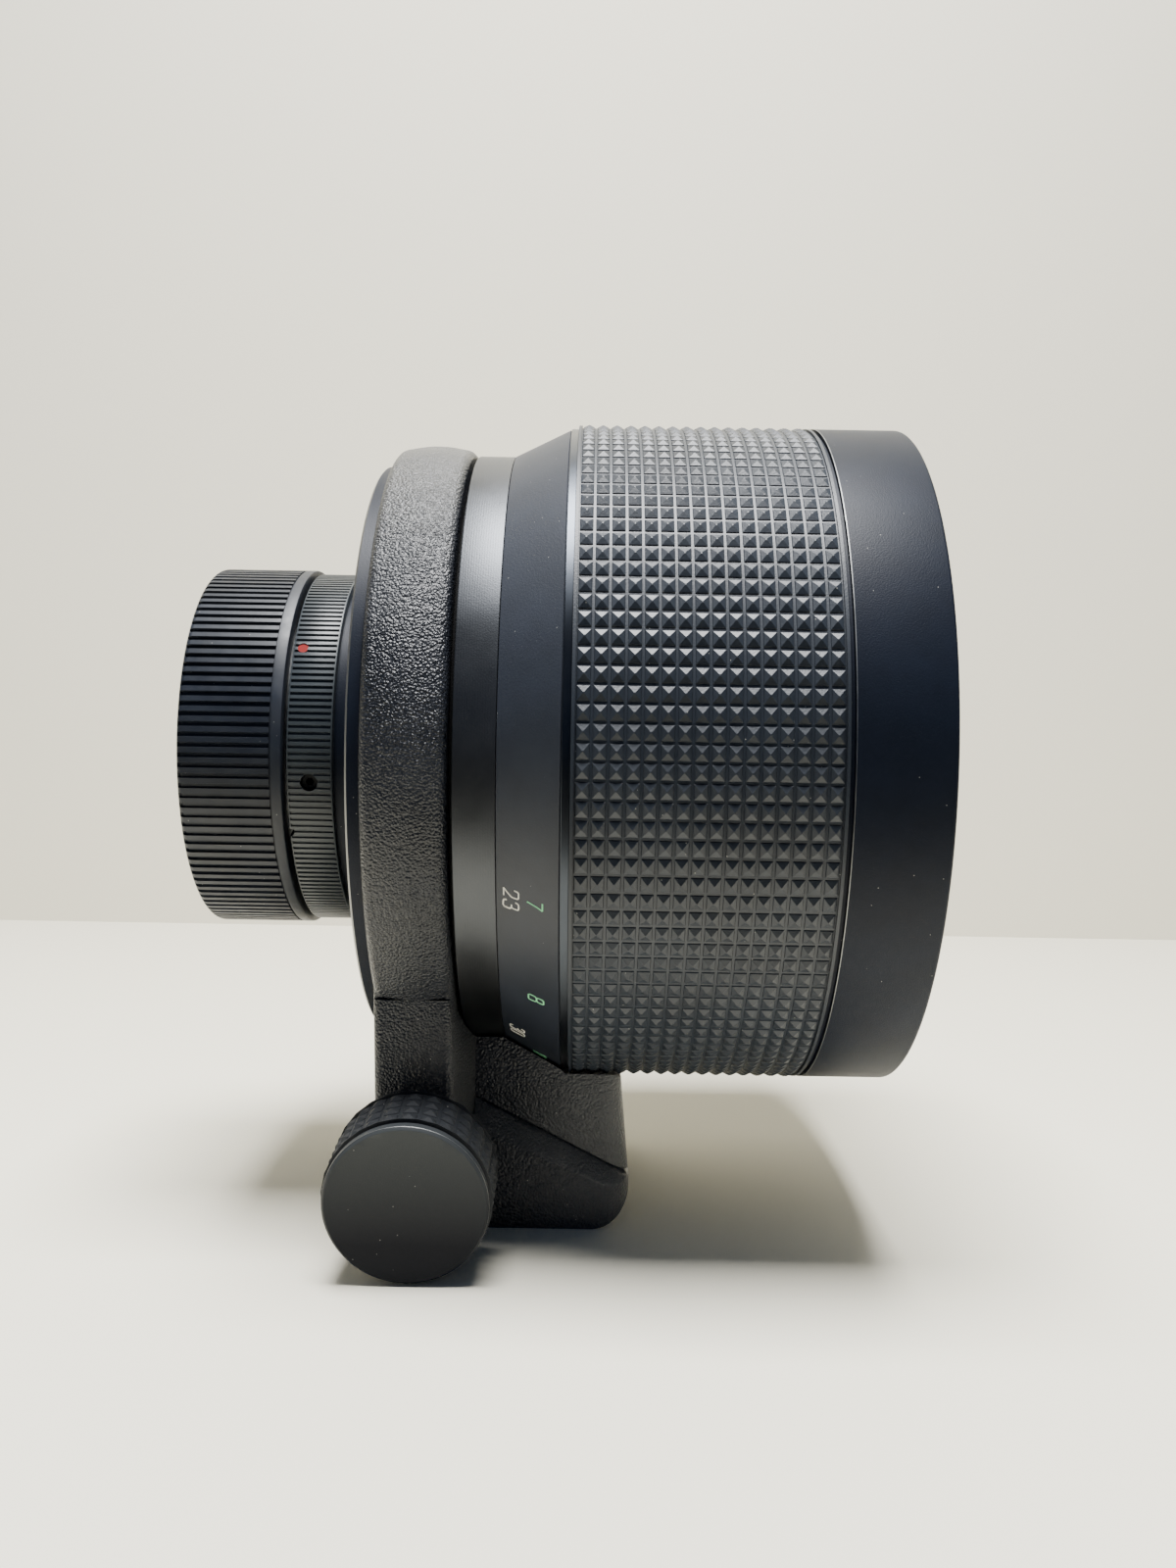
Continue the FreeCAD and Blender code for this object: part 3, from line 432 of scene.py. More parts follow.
def noise(tree, place, millimetres, detail=3.0, roughness=0.5):
    """Soft noise with spots of about this size."""
    return add(tree, "ShaderNodeTexNoise", {"Vector": place, "Scale": per_metre(millimetres),
                                            "Detail": detail, "Roughness": roughness}).outputs["Fac"]


def spread(tree, value, low, high, to_low, to_high):
    """Maps a range of a value to another."""
    return add(tree, "ShaderNodeMapRange", {"Value": value, "From Min": low, "From Max": high,
                                            "To Min": to_low, "To Max": to_high}).outputs["Result"]


# Sockets that the Mix node has for colours
MIX_FIRST = 6
MIX_SECOND = 7
MIX_RESULT = 2


def blend_colours(tree, share, first, second):
    """Colour between two others."""
    mix = add(tree, "ShaderNodeMix", {"Factor": share}, data_type="RGBA")
    for index, value in ((MIX_FIRST, first), (MIX_SECOND, second)):
        if isinstance(value, bpy.types.NodeSocket):
            tree.links.new(value, mix.inputs[index])
        else:
            mix.inputs[index].default_value = value
    return mix.outputs[MIX_RESULT]


def sum_of(tree, first, second):
    """Sum of two values."""
    return add(tree, "ShaderNodeMath", {0: first, 1: second}, operation="ADD").outputs["Value"]


def product_of(tree, first, second):
    """Product of two values."""
    return add(tree, "ShaderNodeMath", {0: first, 1: second}, operation="MULTIPLY").outputs["Value"]


def raise_surface(tree, shader, height, depth_mm):
    """Lets a value from 0 to 1 stand for a height of this many millimetres."""
    bump = add(tree, "ShaderNodeBump", {"Height": height, "Distance": depth_mm * MM, "Strength": 1.0})
    tree.links.new(bump.outputs["Normal"], shader.inputs["Normal"])


def brighter(base, factor):
    """A colour, lighter or darker by a factor."""
    return (*[min(1.0, channel * factor) for channel in base[:3]], 1.0)


# Noise lies between these two nearly everywhere
NOISE_LOW = 0.3
NOISE_HIGH = 0.7


def stretched(tree, patches, low=0.0, high=1.0):
    """Noise spread so that it fills a range."""
    return spread(tree, patches, NOISE_LOW, NOISE_HIGH, low, high)


def mottled(tree, patches, base, darker, lighter):
    """Base colour, darker and lighter by two factors where the noise is low and high."""
    return blend_colours(tree, stretched(tree, patches), brighter(base, darker), brighter(base, lighter))


# A speck is solid up to this share of its radius, and fades out beyond
SPECK_CORE = 0.6


def specks(tree, place, spacing_mm, size_mm):
    """1 in small dust specks that lie about so far apart, and 0 elsewhere."""
    cells = add(tree, "ShaderNodeTexVoronoi", {"Vector": place, "Scale": per_metre(spacing_mm)})
    reach = size_mm / spacing_mm / 2
    return spread(tree, cells.outputs["Distance"], reach, reach * SPECK_CORE, 0.0, 1.0)


def dusty(tree, place, base, dust, spacing_mm, size_mm):
    """Base colour with dust specks."""
    return blend_colours(tree, specks(tree, place, spacing_mm, size_mm), base, dust)


def tint(name):
    """A colour of the sidebar, as the shaders take it."""
    return tuple(getattr(colours(), name))


def wrinkle_enamel(name, painted_light_on_sides):
    """Stove-enamelled casting: 0.4 mm wrinkles that sparkle, with dust specks, and painted light that greys it low
    in front and on top.

    The second argument is the share of the painted light on upright faces.
    """
    base = tint("casting_paint")
    material, tree, shader, place = new_material(name, {"Roughness": 0.4, "IOR": 1.5, "Base Color": base})
    patches = noise(tree, place, 9.0)
    paint = mottled(tree, patches, base, 0.8, 1.25)
    axes = add(tree, "ShaderNodeSeparateXYZ", {"Vector": place}).outputs
    # Painted light, not wear: the worn mask greys the paint towards #6a6b6a low on the front of the casting, most
    # on faces that look up.
    painted_light_ahead = spread(tree, axes["X"], -6.0 * MM, 12.0 * MM, 0.0, 1.0)
    low = spread(tree, axes["Z"], 50.0 * MM, 20.0 * MM, 0.0, 1.0)
    normal = add(tree, "ShaderNodeNewGeometry").outputs["Normal"]
    facing = add(tree, "ShaderNodeSeparateXYZ", {"Vector": normal}).outputs
    sloping = spread(tree, facing["Z"], 0.1, 0.6, painted_light_on_sides, 1.0)
    worn = product_of(tree, product_of(tree, painted_light_ahead, low), sloping)
    paint = blend_colours(tree, worn, paint, linear("#6a6b6a"))
    # Painted fill light: low faces that look forward, and all faces that look up, are blended towards the paler
    # grey #4b4c4d.
    painted_light_forwards = product_of(tree, low, spread(tree, facing["X"], 0.3, 0.9, 0.0, 0.6))
    painted_fill_light = sum_of(tree, spread(tree, facing["Z"], 0.25, 0.8, 0.0, 0.7), painted_light_forwards)
    paint = blend_colours(tree, painted_fill_light, paint, linear("#4b4c4d"))
    tree.links.new(dusty(tree, place, paint, linear("#a8a69e"), 1.7, 0.17), shader.inputs["Base Color"])
    cells = add(tree, "ShaderNodeTexVoronoi", {"Vector": place, "Scale": per_metre(0.4)})
    wrinkles = spread(tree, cells.outputs["Distance"], 0.0, 0.9, 1.0, 0.0)
    raise_surface(tree, shader, sum_of(tree, wrinkles, noise(tree, place, 0.3, 2.0, 0.6)), 0.15)
    tree.links.new(stretched(tree, patches, 0.28, 0.4), shader.inputs["Roughness"])
    return material


def turned_anodised(name, base, roughness, grain_mm, line_mm, line_depth_mm):
    """Anodised aluminium off the lathe: a metal whose dye darkens it, with faint turning lines round it."""
    material, tree, shader, place = new_material(
        name, {"Metallic": 1.0, "Roughness": roughness, "Base Color": base})
    patches = noise(tree, place, 12.0, 4.0, 0.6)
    tree.links.new(mottled(tree, patches, base, 0.88, 1.12), shader.inputs["Base Color"])
    along = add(tree, "ShaderNodeSeparateXYZ", {"Vector": place}).outputs["X"]
    phase = product_of(tree, along, 2 * math.pi * per_metre(line_mm))
    lines = add(tree, "ShaderNodeMath", {0: phase}, operation="SINE").outputs["Value"]
    height = sum_of(tree, spread(tree, lines, -1.0, 1.0, 0.0, 0.2), noise(tree, place, grain_mm, 2.0))
    raise_surface(tree, shader, height, line_depth_mm)
    tree.links.new(stretched(tree, patches, roughness - 0.03, roughness + 0.04),
                   shader.inputs["Roughness"])
    return material


def matte_anodised(name, base, roughness, grain_mm=0.3, shine=0.5, depth_mm=0.02):
    """Bead-blasted anodised aluminium: a dyed oxide skin of fine pits that scatters the light."""
    material, tree, shader, place = new_material(
        name, {"Roughness": roughness, "IOR": 1.5, "Specular IOR Level": shine, "Base Color": base})
    paint = mottled(tree, noise(tree, place, 7.0, 4.0, 0.6), base, 0.85, 1.15)
    tree.links.new(dusty(tree, place, paint, linear("#a3a29c"), 2.0, 0.15), shader.inputs["Base Color"])
    raise_surface(tree, shader, noise(tree, place, grain_mm, 2.0), depth_mm)
    return material


def painted_knob():
    """Matte black paint on the knob, with a painted reflection that greys it towards the top."""
    base = tint("knob_plate")
    material, tree, shader, place = new_material(
        "Matte black painted metal", {"Roughness": 0.36, "IOR": 1.5, "Specular IOR Level": 0.1,
                                      "Base Color": base})
    height = add(tree, "ShaderNodeSeparateXYZ", {"Vector": place}).outputs["Z"]
    # Painted reflection: the paint turns grey from 6 mm to 23 mm up, standing in for the bright floor that the
    # face of the knob reflects.
    painted_reflection = spread(tree, height, 6.0 * MM, 23.0 * MM, 0.0, 1.0)
    paint = blend_colours(tree, painted_reflection, base, linear("#3b3e40"))
    tree.links.new(dusty(tree, place, paint, linear("#8b8a84"), 2.2, 0.15), shader.inputs["Base Color"])
    raise_surface(tree, shader, noise(tree, place, 0.2, 2.0), 0.015)
    return material


def moulded_rubber(name, base, roughness=0.44):
    """Moulded rubber: dull, a little mottled by handling, with pale specks of dust."""
    material, tree, shader, place = new_material(
        name, {"Roughness": roughness, "IOR": 1.52, "Base Color": base})
    paint = mottled(tree, noise(tree, place, 14.0, 4.0, 0.6), base, 0.85, 1.2)
    tree.links.new(dusty(tree, place, paint, linear("#b0afa7"), 2.0, 0.18), shader.inputs["Base Color"])
    raise_surface(tree, shader, noise(tree, place, 0.25, 3.0), 0.03)
    return material


def moulded_plastic():
    """Injection-moulded ABS: semi-gloss with a faint moulded texture."""
    base = tint("cap_plastic")
    material, tree, shader, place = new_material(
        "Moulded black plastic", {"Roughness": 0.5, "IOR": 1.46, "Base Color": base})
    paint = mottled(tree, noise(tree, place, 6.0, 4.0), base, 0.85, 1.3)
    tree.links.new(dusty(tree, place, paint, linear("#9d9c96"), 1.9, 0.16), shader.inputs["Base Color"])
    tree.links.new(stretched(tree, noise(tree, place, 2.0), 0.4, 0.52), shader.inputs["Roughness"])
    raise_surface(tree, shader, noise(tree, place, 0.3, 2.0), 0.01)
    return material


def bare_metal(name, hex_colour, roughness):
    """Bare or plated metal with patches of wear and a very fine grain."""
    base = linear(hex_colour)
    material, tree, shader, place = new_material(
        name, {"Metallic": 1.0, "Roughness": roughness, "Base Color": base})
    wear = noise(tree, place, 3.0, 5.0, 0.65)
    tree.links.new(blend_colours(tree, wear, brighter(base, 0.75), base), shader.inputs["Base Color"])
    tree.links.new(stretched(tree, wear, roughness - 0.06, roughness + 0.1), shader.inputs["Roughness"])
    raise_surface(tree, shader, noise(tree, place, 0.3, 2.0), 0.002)
    return material


def anti_glare_black():
    """Flat black lacquer inside the lens, which swallows stray light."""
    material, tree, shader, place = new_material(
        "Anti-glare black lacquer", {"Roughness": 0.85, "IOR": 1.45, "Base Color": linear("#0e0f10")})
    tone = noise(tree, place, 1.5, 4.0)
    tree.links.new(blend_colours(tree, tone, linear("#0a0a0b"), linear("#161718")),
                   shader.inputs["Base Color"])
    raise_surface(tree, shader, noise(tree, place, 0.2, 2.0), 0.02)
    return material


def coated_glass():
    """Polished optical glass with a thin coating that tints its reflections."""
    material, tree, shader, place = new_material(
        "Coated optical glass", {"Roughness": 0.02, "IOR": 1.52, "Transmission Weight": 1.0,
                                 "Base Color": linear("#f2f6f4"), "Coat Weight": 0.4,
                                 "Coat Roughness": 0.02, "Coat Tint": linear("#8fb7a2")})
    tree.links.new(stretched(tree, noise(tree, place, 9.0), 0.01, 0.04), shader.inputs["Roughness"])
    return material


def silvered_glass():
    """Vacuum-coated mirror: almost perfectly smooth metal on glass."""
    material, tree, shader, place = new_material(
        "Silvered glass", {"Metallic": 1.0, "Roughness": 0.03, "Base Color": linear("#e8eaec")})
    tree.links.new(stretched(tree, noise(tree, place, 12.0), 0.02, 0.06), shader.inputs["Roughness"])
    return material


def enamel(name, base):
    """Stoved enamel pressed into marks: solid colour, almost matte."""
    material, tree, shader, place = new_material(
        name, {"Roughness": 0.6, "IOR": 1.5, "Specular IOR Level": 0.15, "Base Color": base})
    tone = noise(tree, place, 0.8)
    tree.links.new(blend_colours(tree, tone, brighter(base, 0.8), base), shader.inputs["Base Color"])
    return material


def backdrop_paper(name, base):
    """Matte background paper with hardly any grain."""
    material, tree, shader, place = new_material(
        name, {"Roughness": 0.9, "IOR": 1.4, "Base Color": base})
    tone = noise(tree, place, 40.0)
    tree.links.new(blend_colours(tree, tone, brighter(base, 0.985), base), shader.inputs["Base Color"])
    return material


# How each finish is made. One is made when it is first asked for, and is kept in MADE.
MAKERS = {
    # The number after each name is the share of the painted light on upright faces of the casting.
    "wrinkle": lambda: wrinkle_enamel("Black wrinkle enamel", 0.75),
    "foot_wrinkle": lambda: wrinkle_enamel("Black wrinkle enamel of the foot", 0.3),
    "barrel": lambda: matte_anodised("Satin black anodised aluminium", tint("barrel_black"), 0.46,
                                     grain_mm=0.2, shine=0.17, depth_mm=0.03),
    "index": lambda: turned_anodised("Satin turned anodised aluminium", tint("index_black"), 0.4,
                                     grain_mm=0.22, line_mm=0.35, line_depth_mm=0.016),
    "cone": lambda: matte_anodised("Matte black anodised aluminium", tint("cone_black"), 0.5),
    "stripe": lambda: turned_anodised("Turned black anodised edge", linear("#43474d"), 0.3,
                                      grain_mm=0.4, line_mm=0.3, line_depth_mm=0.001),
    "rubber": lambda: moulded_rubber("Moulded grey-black rubber", tint("grip_rubber")),
    "knob_rubber": lambda: moulded_rubber("Worn knob rubber", brighter(tint("grip_rubber"), 0.4), 0.75),
    "plastic": moulded_plastic,
    "adapter": lambda: matte_anodised("Grey-green anodised aluminium", tint("adapter_grey"), 0.4,
                                      grain_mm=0.15),
    "knob": painted_knob,
    # Bare metal of worn edges; on the rear edge of the front shell it is a painted highlight.
    "worn": lambda: bare_metal("Worn aluminium edge", "#8e8f8e", 0.42),
    "steel": lambda: bare_metal("Bright steel", "#b4b6b8", 0.28),
    "black_steel": lambda: bare_metal("Blackened steel", "#4a4b4d", 0.42),
    "chrome": lambda: bare_metal("Satin chrome", "#b9bbbc", 0.36),
    "brass": lambda: bare_metal("Turned brass", "#c9a44f", 0.3),
    # Flat black lacquer inside the lens; on the grub screws and the walls of their holes in the adapter it is
    # painted shade.
    "flat_black": anti_glare_black,
    "glass": coated_glass,
    "mirror": silvered_glass,
    "red": lambda: enamel("Red enamel", linear("#86100a")),
    "green": lambda: enamel("Green scale enamel", tint("metre_green")),
    "cream": lambda: enamel("Cream scale enamel", tint("feet_cream")),
    "wall": lambda: backdrop_paper("Pale wall paper", tint("wall_paper")),
    "floor": lambda: backdrop_paper("Pale floor paper", tint("floor_paper")),
    "table": lambda: backdrop_paper("Dark table", linear("#1b1a19")),
}
MADE = {}


def finish(name):
    """The material of this name."""
    if name not in MADE:
        MADE[name] = MAKERS[name]()
    return MADE[name]


# Finish of each material slot of the record, for the nodes that are shown as they are
SLOT_FINISHES = {
    "black_cast": "wrinkle",
    "bright_steel": "steel",
    "black_steel": "black_steel",
    "knob_black": "knob",
    "knob_rubber": "knob_rubber",
    "housing_black": "barrel",
    "inner_black": "flat_black",
    "index_black": "index",
    "silvered_glass": "mirror",
    "coated_glass": "glass",
    "key_brass": "brass",
    "adapter_grey": "adapter",
    "red_enamel": "red",
    "scale_black": "cone",
    "grip_rubber": "rubber",
    "barrel_black": "barrel",
    "cap_plastic": "plastic",
}

# Painted shade: the grub screws lie deep in their holes and get the flat black lacquer, so that they are dark.
NODE_FINISHES = {"adapter_screws": "flat_black"}


# Pieces


def rear_cap_mesh():
    """Cup with straight ribs that run over its rear edge, a smooth flange and a shallow dish behind."""
    size = sizes()
    rear, front, radius = extent("rear_cap")
    steps = 2 * size.cap_ribs
    bore = radius - size.cap_wall
    floor = rear + size.cap_floor
    crest = radius - 0.02 * MM
    line_front = front - size.cap_flange
    line_rear = line_front - 0.3 * MM
    line_floor = radius - 0.25 * MM
    dish = radius - 6.5 * MM
    dish_depth = 0.5 * MM
    outline = [
        (floor, 0.0),
        (floor, bore),
        (front, bore),
        (front, radius),
        (line_front, radius),
        (line_front, line_floor),
        (line_rear, line_floor),
        (line_rear, crest),
        (rear, crest),
        (rear, dish),
        (rear + dish_depth, dish - dish_depth),
        (rear + dish_depth, dish / 2),
        (rear + dish_depth, 0.0),
    ]
    bm = spun(outline, steps, closed=False)
    edge = 0.8 * MM
    soften(bm, edge, segments=3, within=(rear - SMALLEST, rear + 0.1 * MM), beyond=dish + MM)
    soften(bm, 0.3 * MM, within=(front - 0.1 * MM, front + SMALLEST))
    rib(bm, steps, rear - SMALLEST, line_rear - 0.1 * MM, radius - 0.75 * edge, size.cap_rib_slope,
        size.cap_rib_depth)
    lug_rear = front - 2.8 * MM
    lug_front = front - 1.4 * MM
    lug_tip = bore - 2.6 * MM
    lug_root = bore + MM
    first_lug = 150.0
    lug_width = 40.0
    parts = [bm]
    for index in range(3):
        middle = first_lug + THIRD_OF_A_TURN * index
        parts.append(arc_block(lug_rear, lug_front, lug_tip, lug_root, middle, lug_width))
    return joined(parts)


def radial_drill(x, out, foot, depth, radius, steps=24):
    """Round cutter that points outwards and starts at a distance from the lens axis."""
    return on_axis(ring(0.0, depth, 0.0, radius, steps), Vector((x, 0, 0)) + out * foot, out)


def adapter_ring_mesh():
    """Knurled outer ring of the adapter with a notch, bored for its grub screws and its dot."""
    size = sizes()
    rear = extent("rear_cap")[1] + 0.65 * MM
    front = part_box("adapter_thread_ring")[1][0]
    radius = extent("adapter_body")[2]
    inner = extent("adapter_thread_ring")[2]
    seat = inner + 0.02 * MM
    throat = inner - 1.4 * MM
    lip = rear + 0.5 * MM
    steps = 2 * size.adapter_ribs
    bm = spun([(front, seat), (front, radius), (rear, radius), (rear, throat), (lip, throat), (lip, seat)],
              steps)
    soften(bm, 0.35 * MM, within=(rear - SMALLEST, front + SMALLEST))
    knurl_end = 0.3 * MM
    knurl_slope = 0.07 * MM
    rib(bm, steps, rear + knurl_end, front - knurl_end, radius - 0.1 * MM, knurl_slope,
        size.adapter_rib_depth)
    cutters = []
    first_screw = -10.1
    for index in range(3):
        out = outwards(first_screw + THIRD_OF_A_TURN * index)
        cutters.append(radial_drill(front - 3.5 * MM, out, radius - 2.5 * MM, 3.0 * MM, 1.3 * MM))
    low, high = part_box("alignment_dot")
    dot = Vector([(low[axis] + high[axis]) / 2 for axis in range(3)])
    dot_out = Vector((0, dot.y, dot.z - axis_height())).normalized()
    cutters.append(radial_drill(dot.x, dot_out, radius - 0.5 * MM, MM, 0.8 * MM))
    notch = -26.0
    cutters.append(radial_drill(rear, outwards(notch), radius - 2.5 * MM, 4.0 * MM, 0.7 * MM, steps=20))
    bm = bored(bm, cutters)
    # Painted shade: the walls of the grub screw holes get the flat black lacquer.
    return rim_of(bm, 1, rear + MM, front - MM, inner + 0.1 * MM, radius - 0.6 * MM)


def bayonet_mesh():
    """Throat of the camera adapter with its three bayonet lugs."""
    edge = sizes().edge_break
    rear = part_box("adapter_body")[0][0]
    flange = extent("rear_cap")[1] + 1.15 * MM
    throat = 22.2 * MM
    outer = throat + 1.6 * MM
    lug_front = rear + 1.5 * MM
    lug_root = outer - 0.8 * MM
    lug_tip = outer + 2.2 * MM
    first_lug = 90.0
    lug_width = 52.0
    parts = [soften(ring(rear, flange, throat, outer, steps=144), edge)]
    for index in range(3):
        middle = first_lug + THIRD_OF_A_TURN * index
        parts.append(soften(arc_block(rear, lug_front, lug_root, lug_tip, middle, lug_width), edge))
    return joined(parts)


def is_sloping_top(face):
    """Whether a face of the foot is its top, which slopes down to the front under the saddle."""
    return abs(face.normal.y) < 0.05 and 0.2 < face.normal.x < 0.45 and face.normal.z > 0.8


def open_seam(bm, gap):
    """Lowers the rim of the foot's sloping top, which leaves a dark line under the saddle."""
    top = [face for face in bm.faces if is_sloping_top(face)]
    bmesh.ops.inset_region(bm, faces=top, thickness=2 * gap, depth=0.0, use_even_offset=True)
    inner = set()
    for face in top:
        inner.update(face.verts)
    rim = set()
    for vert in inner:
        for edge in vert.link_edges:
            rim.add(edge.other_vert(vert))
    for vert in rim - inner:
        vert.co.z -= gap
    return bm


def rear_housing_mesh():
    """Rear casting: flat back with a neck, a rim whose edge is worn bright, and the adapter thread."""
    rear, front, radius = extent("rear_housing")
    tube_rear, _, tube_radius = extent("main_tube")
    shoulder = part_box("adapter_thread_ring")[1][0]
    stub = 21.0 * MM
    stub_bore = stub - 2.8 * MM
    neck = 27.6 * MM
    rim = tube_rear - 1.9 * MM
    neck_front = rim - 0.7 * MM
    edge = sizes().rim_edge
    bore = tube_radius - 2.2 * MM
    inside = bore - 2.3 * MM
    floor = rim + 1.55 * MM
    cell_bore = 13.5 * MM
    cell_rear = rim - 3.05 * MM
    outline = [
        (rear, stub_bore),
        (rear, stub),
        (shoulder, stub),
        (shoulder, neck),
        (neck_front, neck),
        (rim, radius - edge),
        (rim + edge, radius),
        (tube_rear, radius),
        (tube_rear, bore),
        (front, bore),
        (front, inside),
        (floor, inside),
        (floor, cell_bore),
        (cell_rear, cell_bore),
        (cell_rear, stub_bore),
    ]
    bm = spun(outline, steps=224)
    return rim_of(bm, 1, rim + 0.1 * edge, rim + 0.9 * edge, radius - 0.9 * edge, radius)


def index_ring_mesh():
    """Satin ring in front of the collar. Its front edge all but meets the scale cone."""
    rear, front, radius = extent("index_ring")
    seat = extent("main_tube")[2]
    closed_gap = 0.17 * MM
    bm = ring(rear, front + closed_gap, seat, radius, steps=192)
    soften(bm, sizes().edge_break, within=(rear - SMALLEST, rear + SMALLEST))
    return soften(bm, 0.05 * MM, segments=1)


CONE_LENGTH = 8.65 * MM
GRIP_THICKNESS = 3.7 * MM


def cone_places():
    """Rear and front of the scale cone, with its radius at both."""
    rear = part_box("focus_ring")[0][0]
    small = extent("index_ring")[2] + 0.1 * MM
    big = extent("focus_ring")[2] - 0.2 * MM
    return rear, rear + CONE_LENGTH, small, big


def focus_ring_mesh():
    """Scale cone, fine groove, narrow turned stripe and the sleeve under the rubber."""
    cone_rear, cone_front, small, big = cone_places()
    front = extent("focus_ring")[1]
    stripe = extent("focus_ring")[2]
    grip_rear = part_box("focus_grip")[0][0]
    groove_rear = cone_front + 0.02 * MM
    groove_front = cone_front + 0.16 * MM
    groove_floor = big - 0.2 * MM
    bearing = extent("main_tube")[2] + 0.05 * MM
    bearing_front = cone_rear + 13.0 * MM
    sleeve = extent("focus_grip")[2] - GRIP_THICKNESS
    bore = sleeve - 2.9 * MM
    outline = [
        (cone_rear, bearing),
        (cone_rear, small),
        (cone_front, big),
        (groove_rear, groove_floor),
        (groove_front, groove_floor),
        (groove_front, stripe),
        (grip_rear, stripe),
        (grip_rear, sleeve),
        (front, sleeve),
        (front, bore),
        (bearing_front, bore),
        (bearing_front, bearing),
    ]
    bm = soften(spun(outline, steps=192), 0.08 * MM, segments=1)
    return rim_of(bm, 1, cone_front + 0.1 * MM, grip_rear + 0.1 * MM, stripe - 0.2 * MM, stripe + MM)


def rubber_grip_mesh():
    """Rubber sleeve of the focus ring with its rings of pyramids."""
    size = sizes()
    rear, front, radius = extent("focus_grip")
    return pyramid_sleeve(rear, front, radius - GRIP_THICKNESS, radius, size.grip_rows, size.grip_around,
                          size.grip_margin, size.grip_valley, size.grip_pyramid)


def thread_points(place, last, pitch, crest, root):
    """Zigzag of a screw thread, from one place along the axis towards another, as whole turns."""
    step = math.copysign(pitch, last - place)
    points = [(place, crest)]
    for turn in range(int((last - place) / step)):
        points.append((place + step / 2, root))
        place += step
        points.append((place, crest))
    return points


def front_barrel_mesh():
    """Smooth front shell with a bright bare rear edge that paints its highlight line, a rounded front one and a
    fine thread in its mouth.
    """
    rear, front, radius = extent("front_barrel")
    closed_gap = 0.2 * MM
    rear -= closed_gap
    highlight_band_end = rear + 0.12 * MM
    bore = radius - 2.25 * MM
    seat = extent("front_helicoid")[2]
    floor = front - 5.0 * MM
    floor_rear = floor - 3.6 * MM
    thread = 47.5 * MM
    outline = [(rear, bore), (rear, radius), (highlight_band_end, radius), (front, radius), (front, thread + 0.4 * MM)]
    outline += thread_points(front - 0.5 * MM, floor + 0.3 * MM, pitch=MM, crest=thread,
                             root=thread + 0.45 * MM)
    outline += [(floor, thread), (floor, seat), (floor_rear, seat), (floor_rear, bore)]
    bm = spun(outline, steps=224)
    skin = radius - 0.1 * MM
    soften(bm, 0.45 * MM, segments=3, limit=60.0, within=(front - SMALLEST, front + SMALLEST), beyond=skin)
    # Painted highlight: a 0.12 mm band of bright bare metal on the rear edge stands in for the line of light along
    # that edge.
    return rim_of(bm, 1, rear + SMALLEST, highlight_band_end, skin, radius + MM)


def trim_ring_mesh():
    """Thin ring in front of the rubber, flush with the shell."""
    rear, front, radius = extent("grip_trim_ring")
    thickness = 3.0 * MM
    return ring(rear, front, radius - thickness, radius, steps=192)


def front_retainer_mesh():
    """Thin threaded ring over the front lens, with two slots for its spanner."""
    rear, front, radius = extent("front_retainer")
    inner = radius - 3.0 * MM
    slot_floor = rear + (front - rear) * 0.55
    half_width = 175.0
    edge = 0.1 * MM
    parts = [soften(ring(rear, slot_floor, inner, radius, steps=192), edge, segments=1)]
    for middle in (0.0, 180.0):
        half = arc_block(slot_floor, front, inner, radius, middle, half_width)
        parts.append(soften(half, edge, segments=1))
    return joined(parts)


def clamp_axis():
    """A point of the clamp axis on the flank of the column, and the direction away from the column."""
    for joint in frame["joints"]:
        if joint["name"] == "knob_turn":
            return Vector(joint["pos_m"]), Vector(joint["axis"]).normalized()
    raise RuntimeError("The frame has no joint for the knob")


# Places along the axis of the knob, from the flank of the column
KNOB_NECK = 1.3 * MM
KNOB_START = 4.45 * MM
KNOB_BORE_END = KNOB_START + 8.0 * MM
KNOB_GROOVE = 13.8 * MM
KNOB_PLATE = 14.3 * MM
KNOB_END = 15.9 * MM

# Radii of the knob
KNOB_BORE_RADIUS = 3.0 * MM
KNOB_NECK_RADIUS = 6.5 * MM
KNOB_CORE_RADIUS = 9.44 * MM
KNOB_RADIUS = 11.5 * MM
KNOB_GROOVE_RADIUS = KNOB_RADIUS - 0.9 * MM
KNOB_RUBBER_RADIUS = 12.04 * MM

KNOB_CHAMFER = 0.4 * MM
KNOB_DISH = 0.5 * MM
DISH_STEPS = 12


def knob_body_mesh():
    """Metal knob with a neck, a narrow groove and a slightly dished face plate with a worn edge."""
    edge = KNOB_END - KNOB_CHAMFER
    outline = [
        (KNOB_NECK, KNOB_BORE_RADIUS),
        (KNOB_NECK, KNOB_NECK_RADIUS),
        (KNOB_START, KNOB_NECK_RADIUS),
        (KNOB_START, KNOB_CORE_RADIUS),
        (KNOB_GROOVE, KNOB_CORE_RADIUS),
        (KNOB_GROOVE, KNOB_GROOVE_RADIUS),
        (KNOB_PLATE, KNOB_GROOVE_RADIUS),
        (KNOB_PLATE, KNOB_RADIUS),
        (edge, KNOB_RADIUS),
        (KNOB_END, KNOB_RADIUS - KNOB_CHAMFER),
    ]
    dish_radius = KNOB_RADIUS - 1.1 * KNOB_CHAMFER
    for step in range(DISH_STEPS, -1, -1):
        share = step / DISH_STEPS
        outline.append((KNOB_END - KNOB_DISH * (1 - share ** 2), dish_radius * share))
    outline += [(KNOB_BORE_END, 0.0), (KNOB_BORE_END, KNOB_BORE_RADIUS)]
    bm = spun(outline, steps=96)
    soften(bm, 0.1 * MM, limit=40.0, within=(KNOB_PLATE - 0.05 * MM, KNOB_END + SMALLEST))
    return rim_of(bm, 1, edge - 0.06 * MM, edge + 0.04 * MM, KNOB_RADIUS - 0.06 * MM, KNOB_RADIUS + MM)


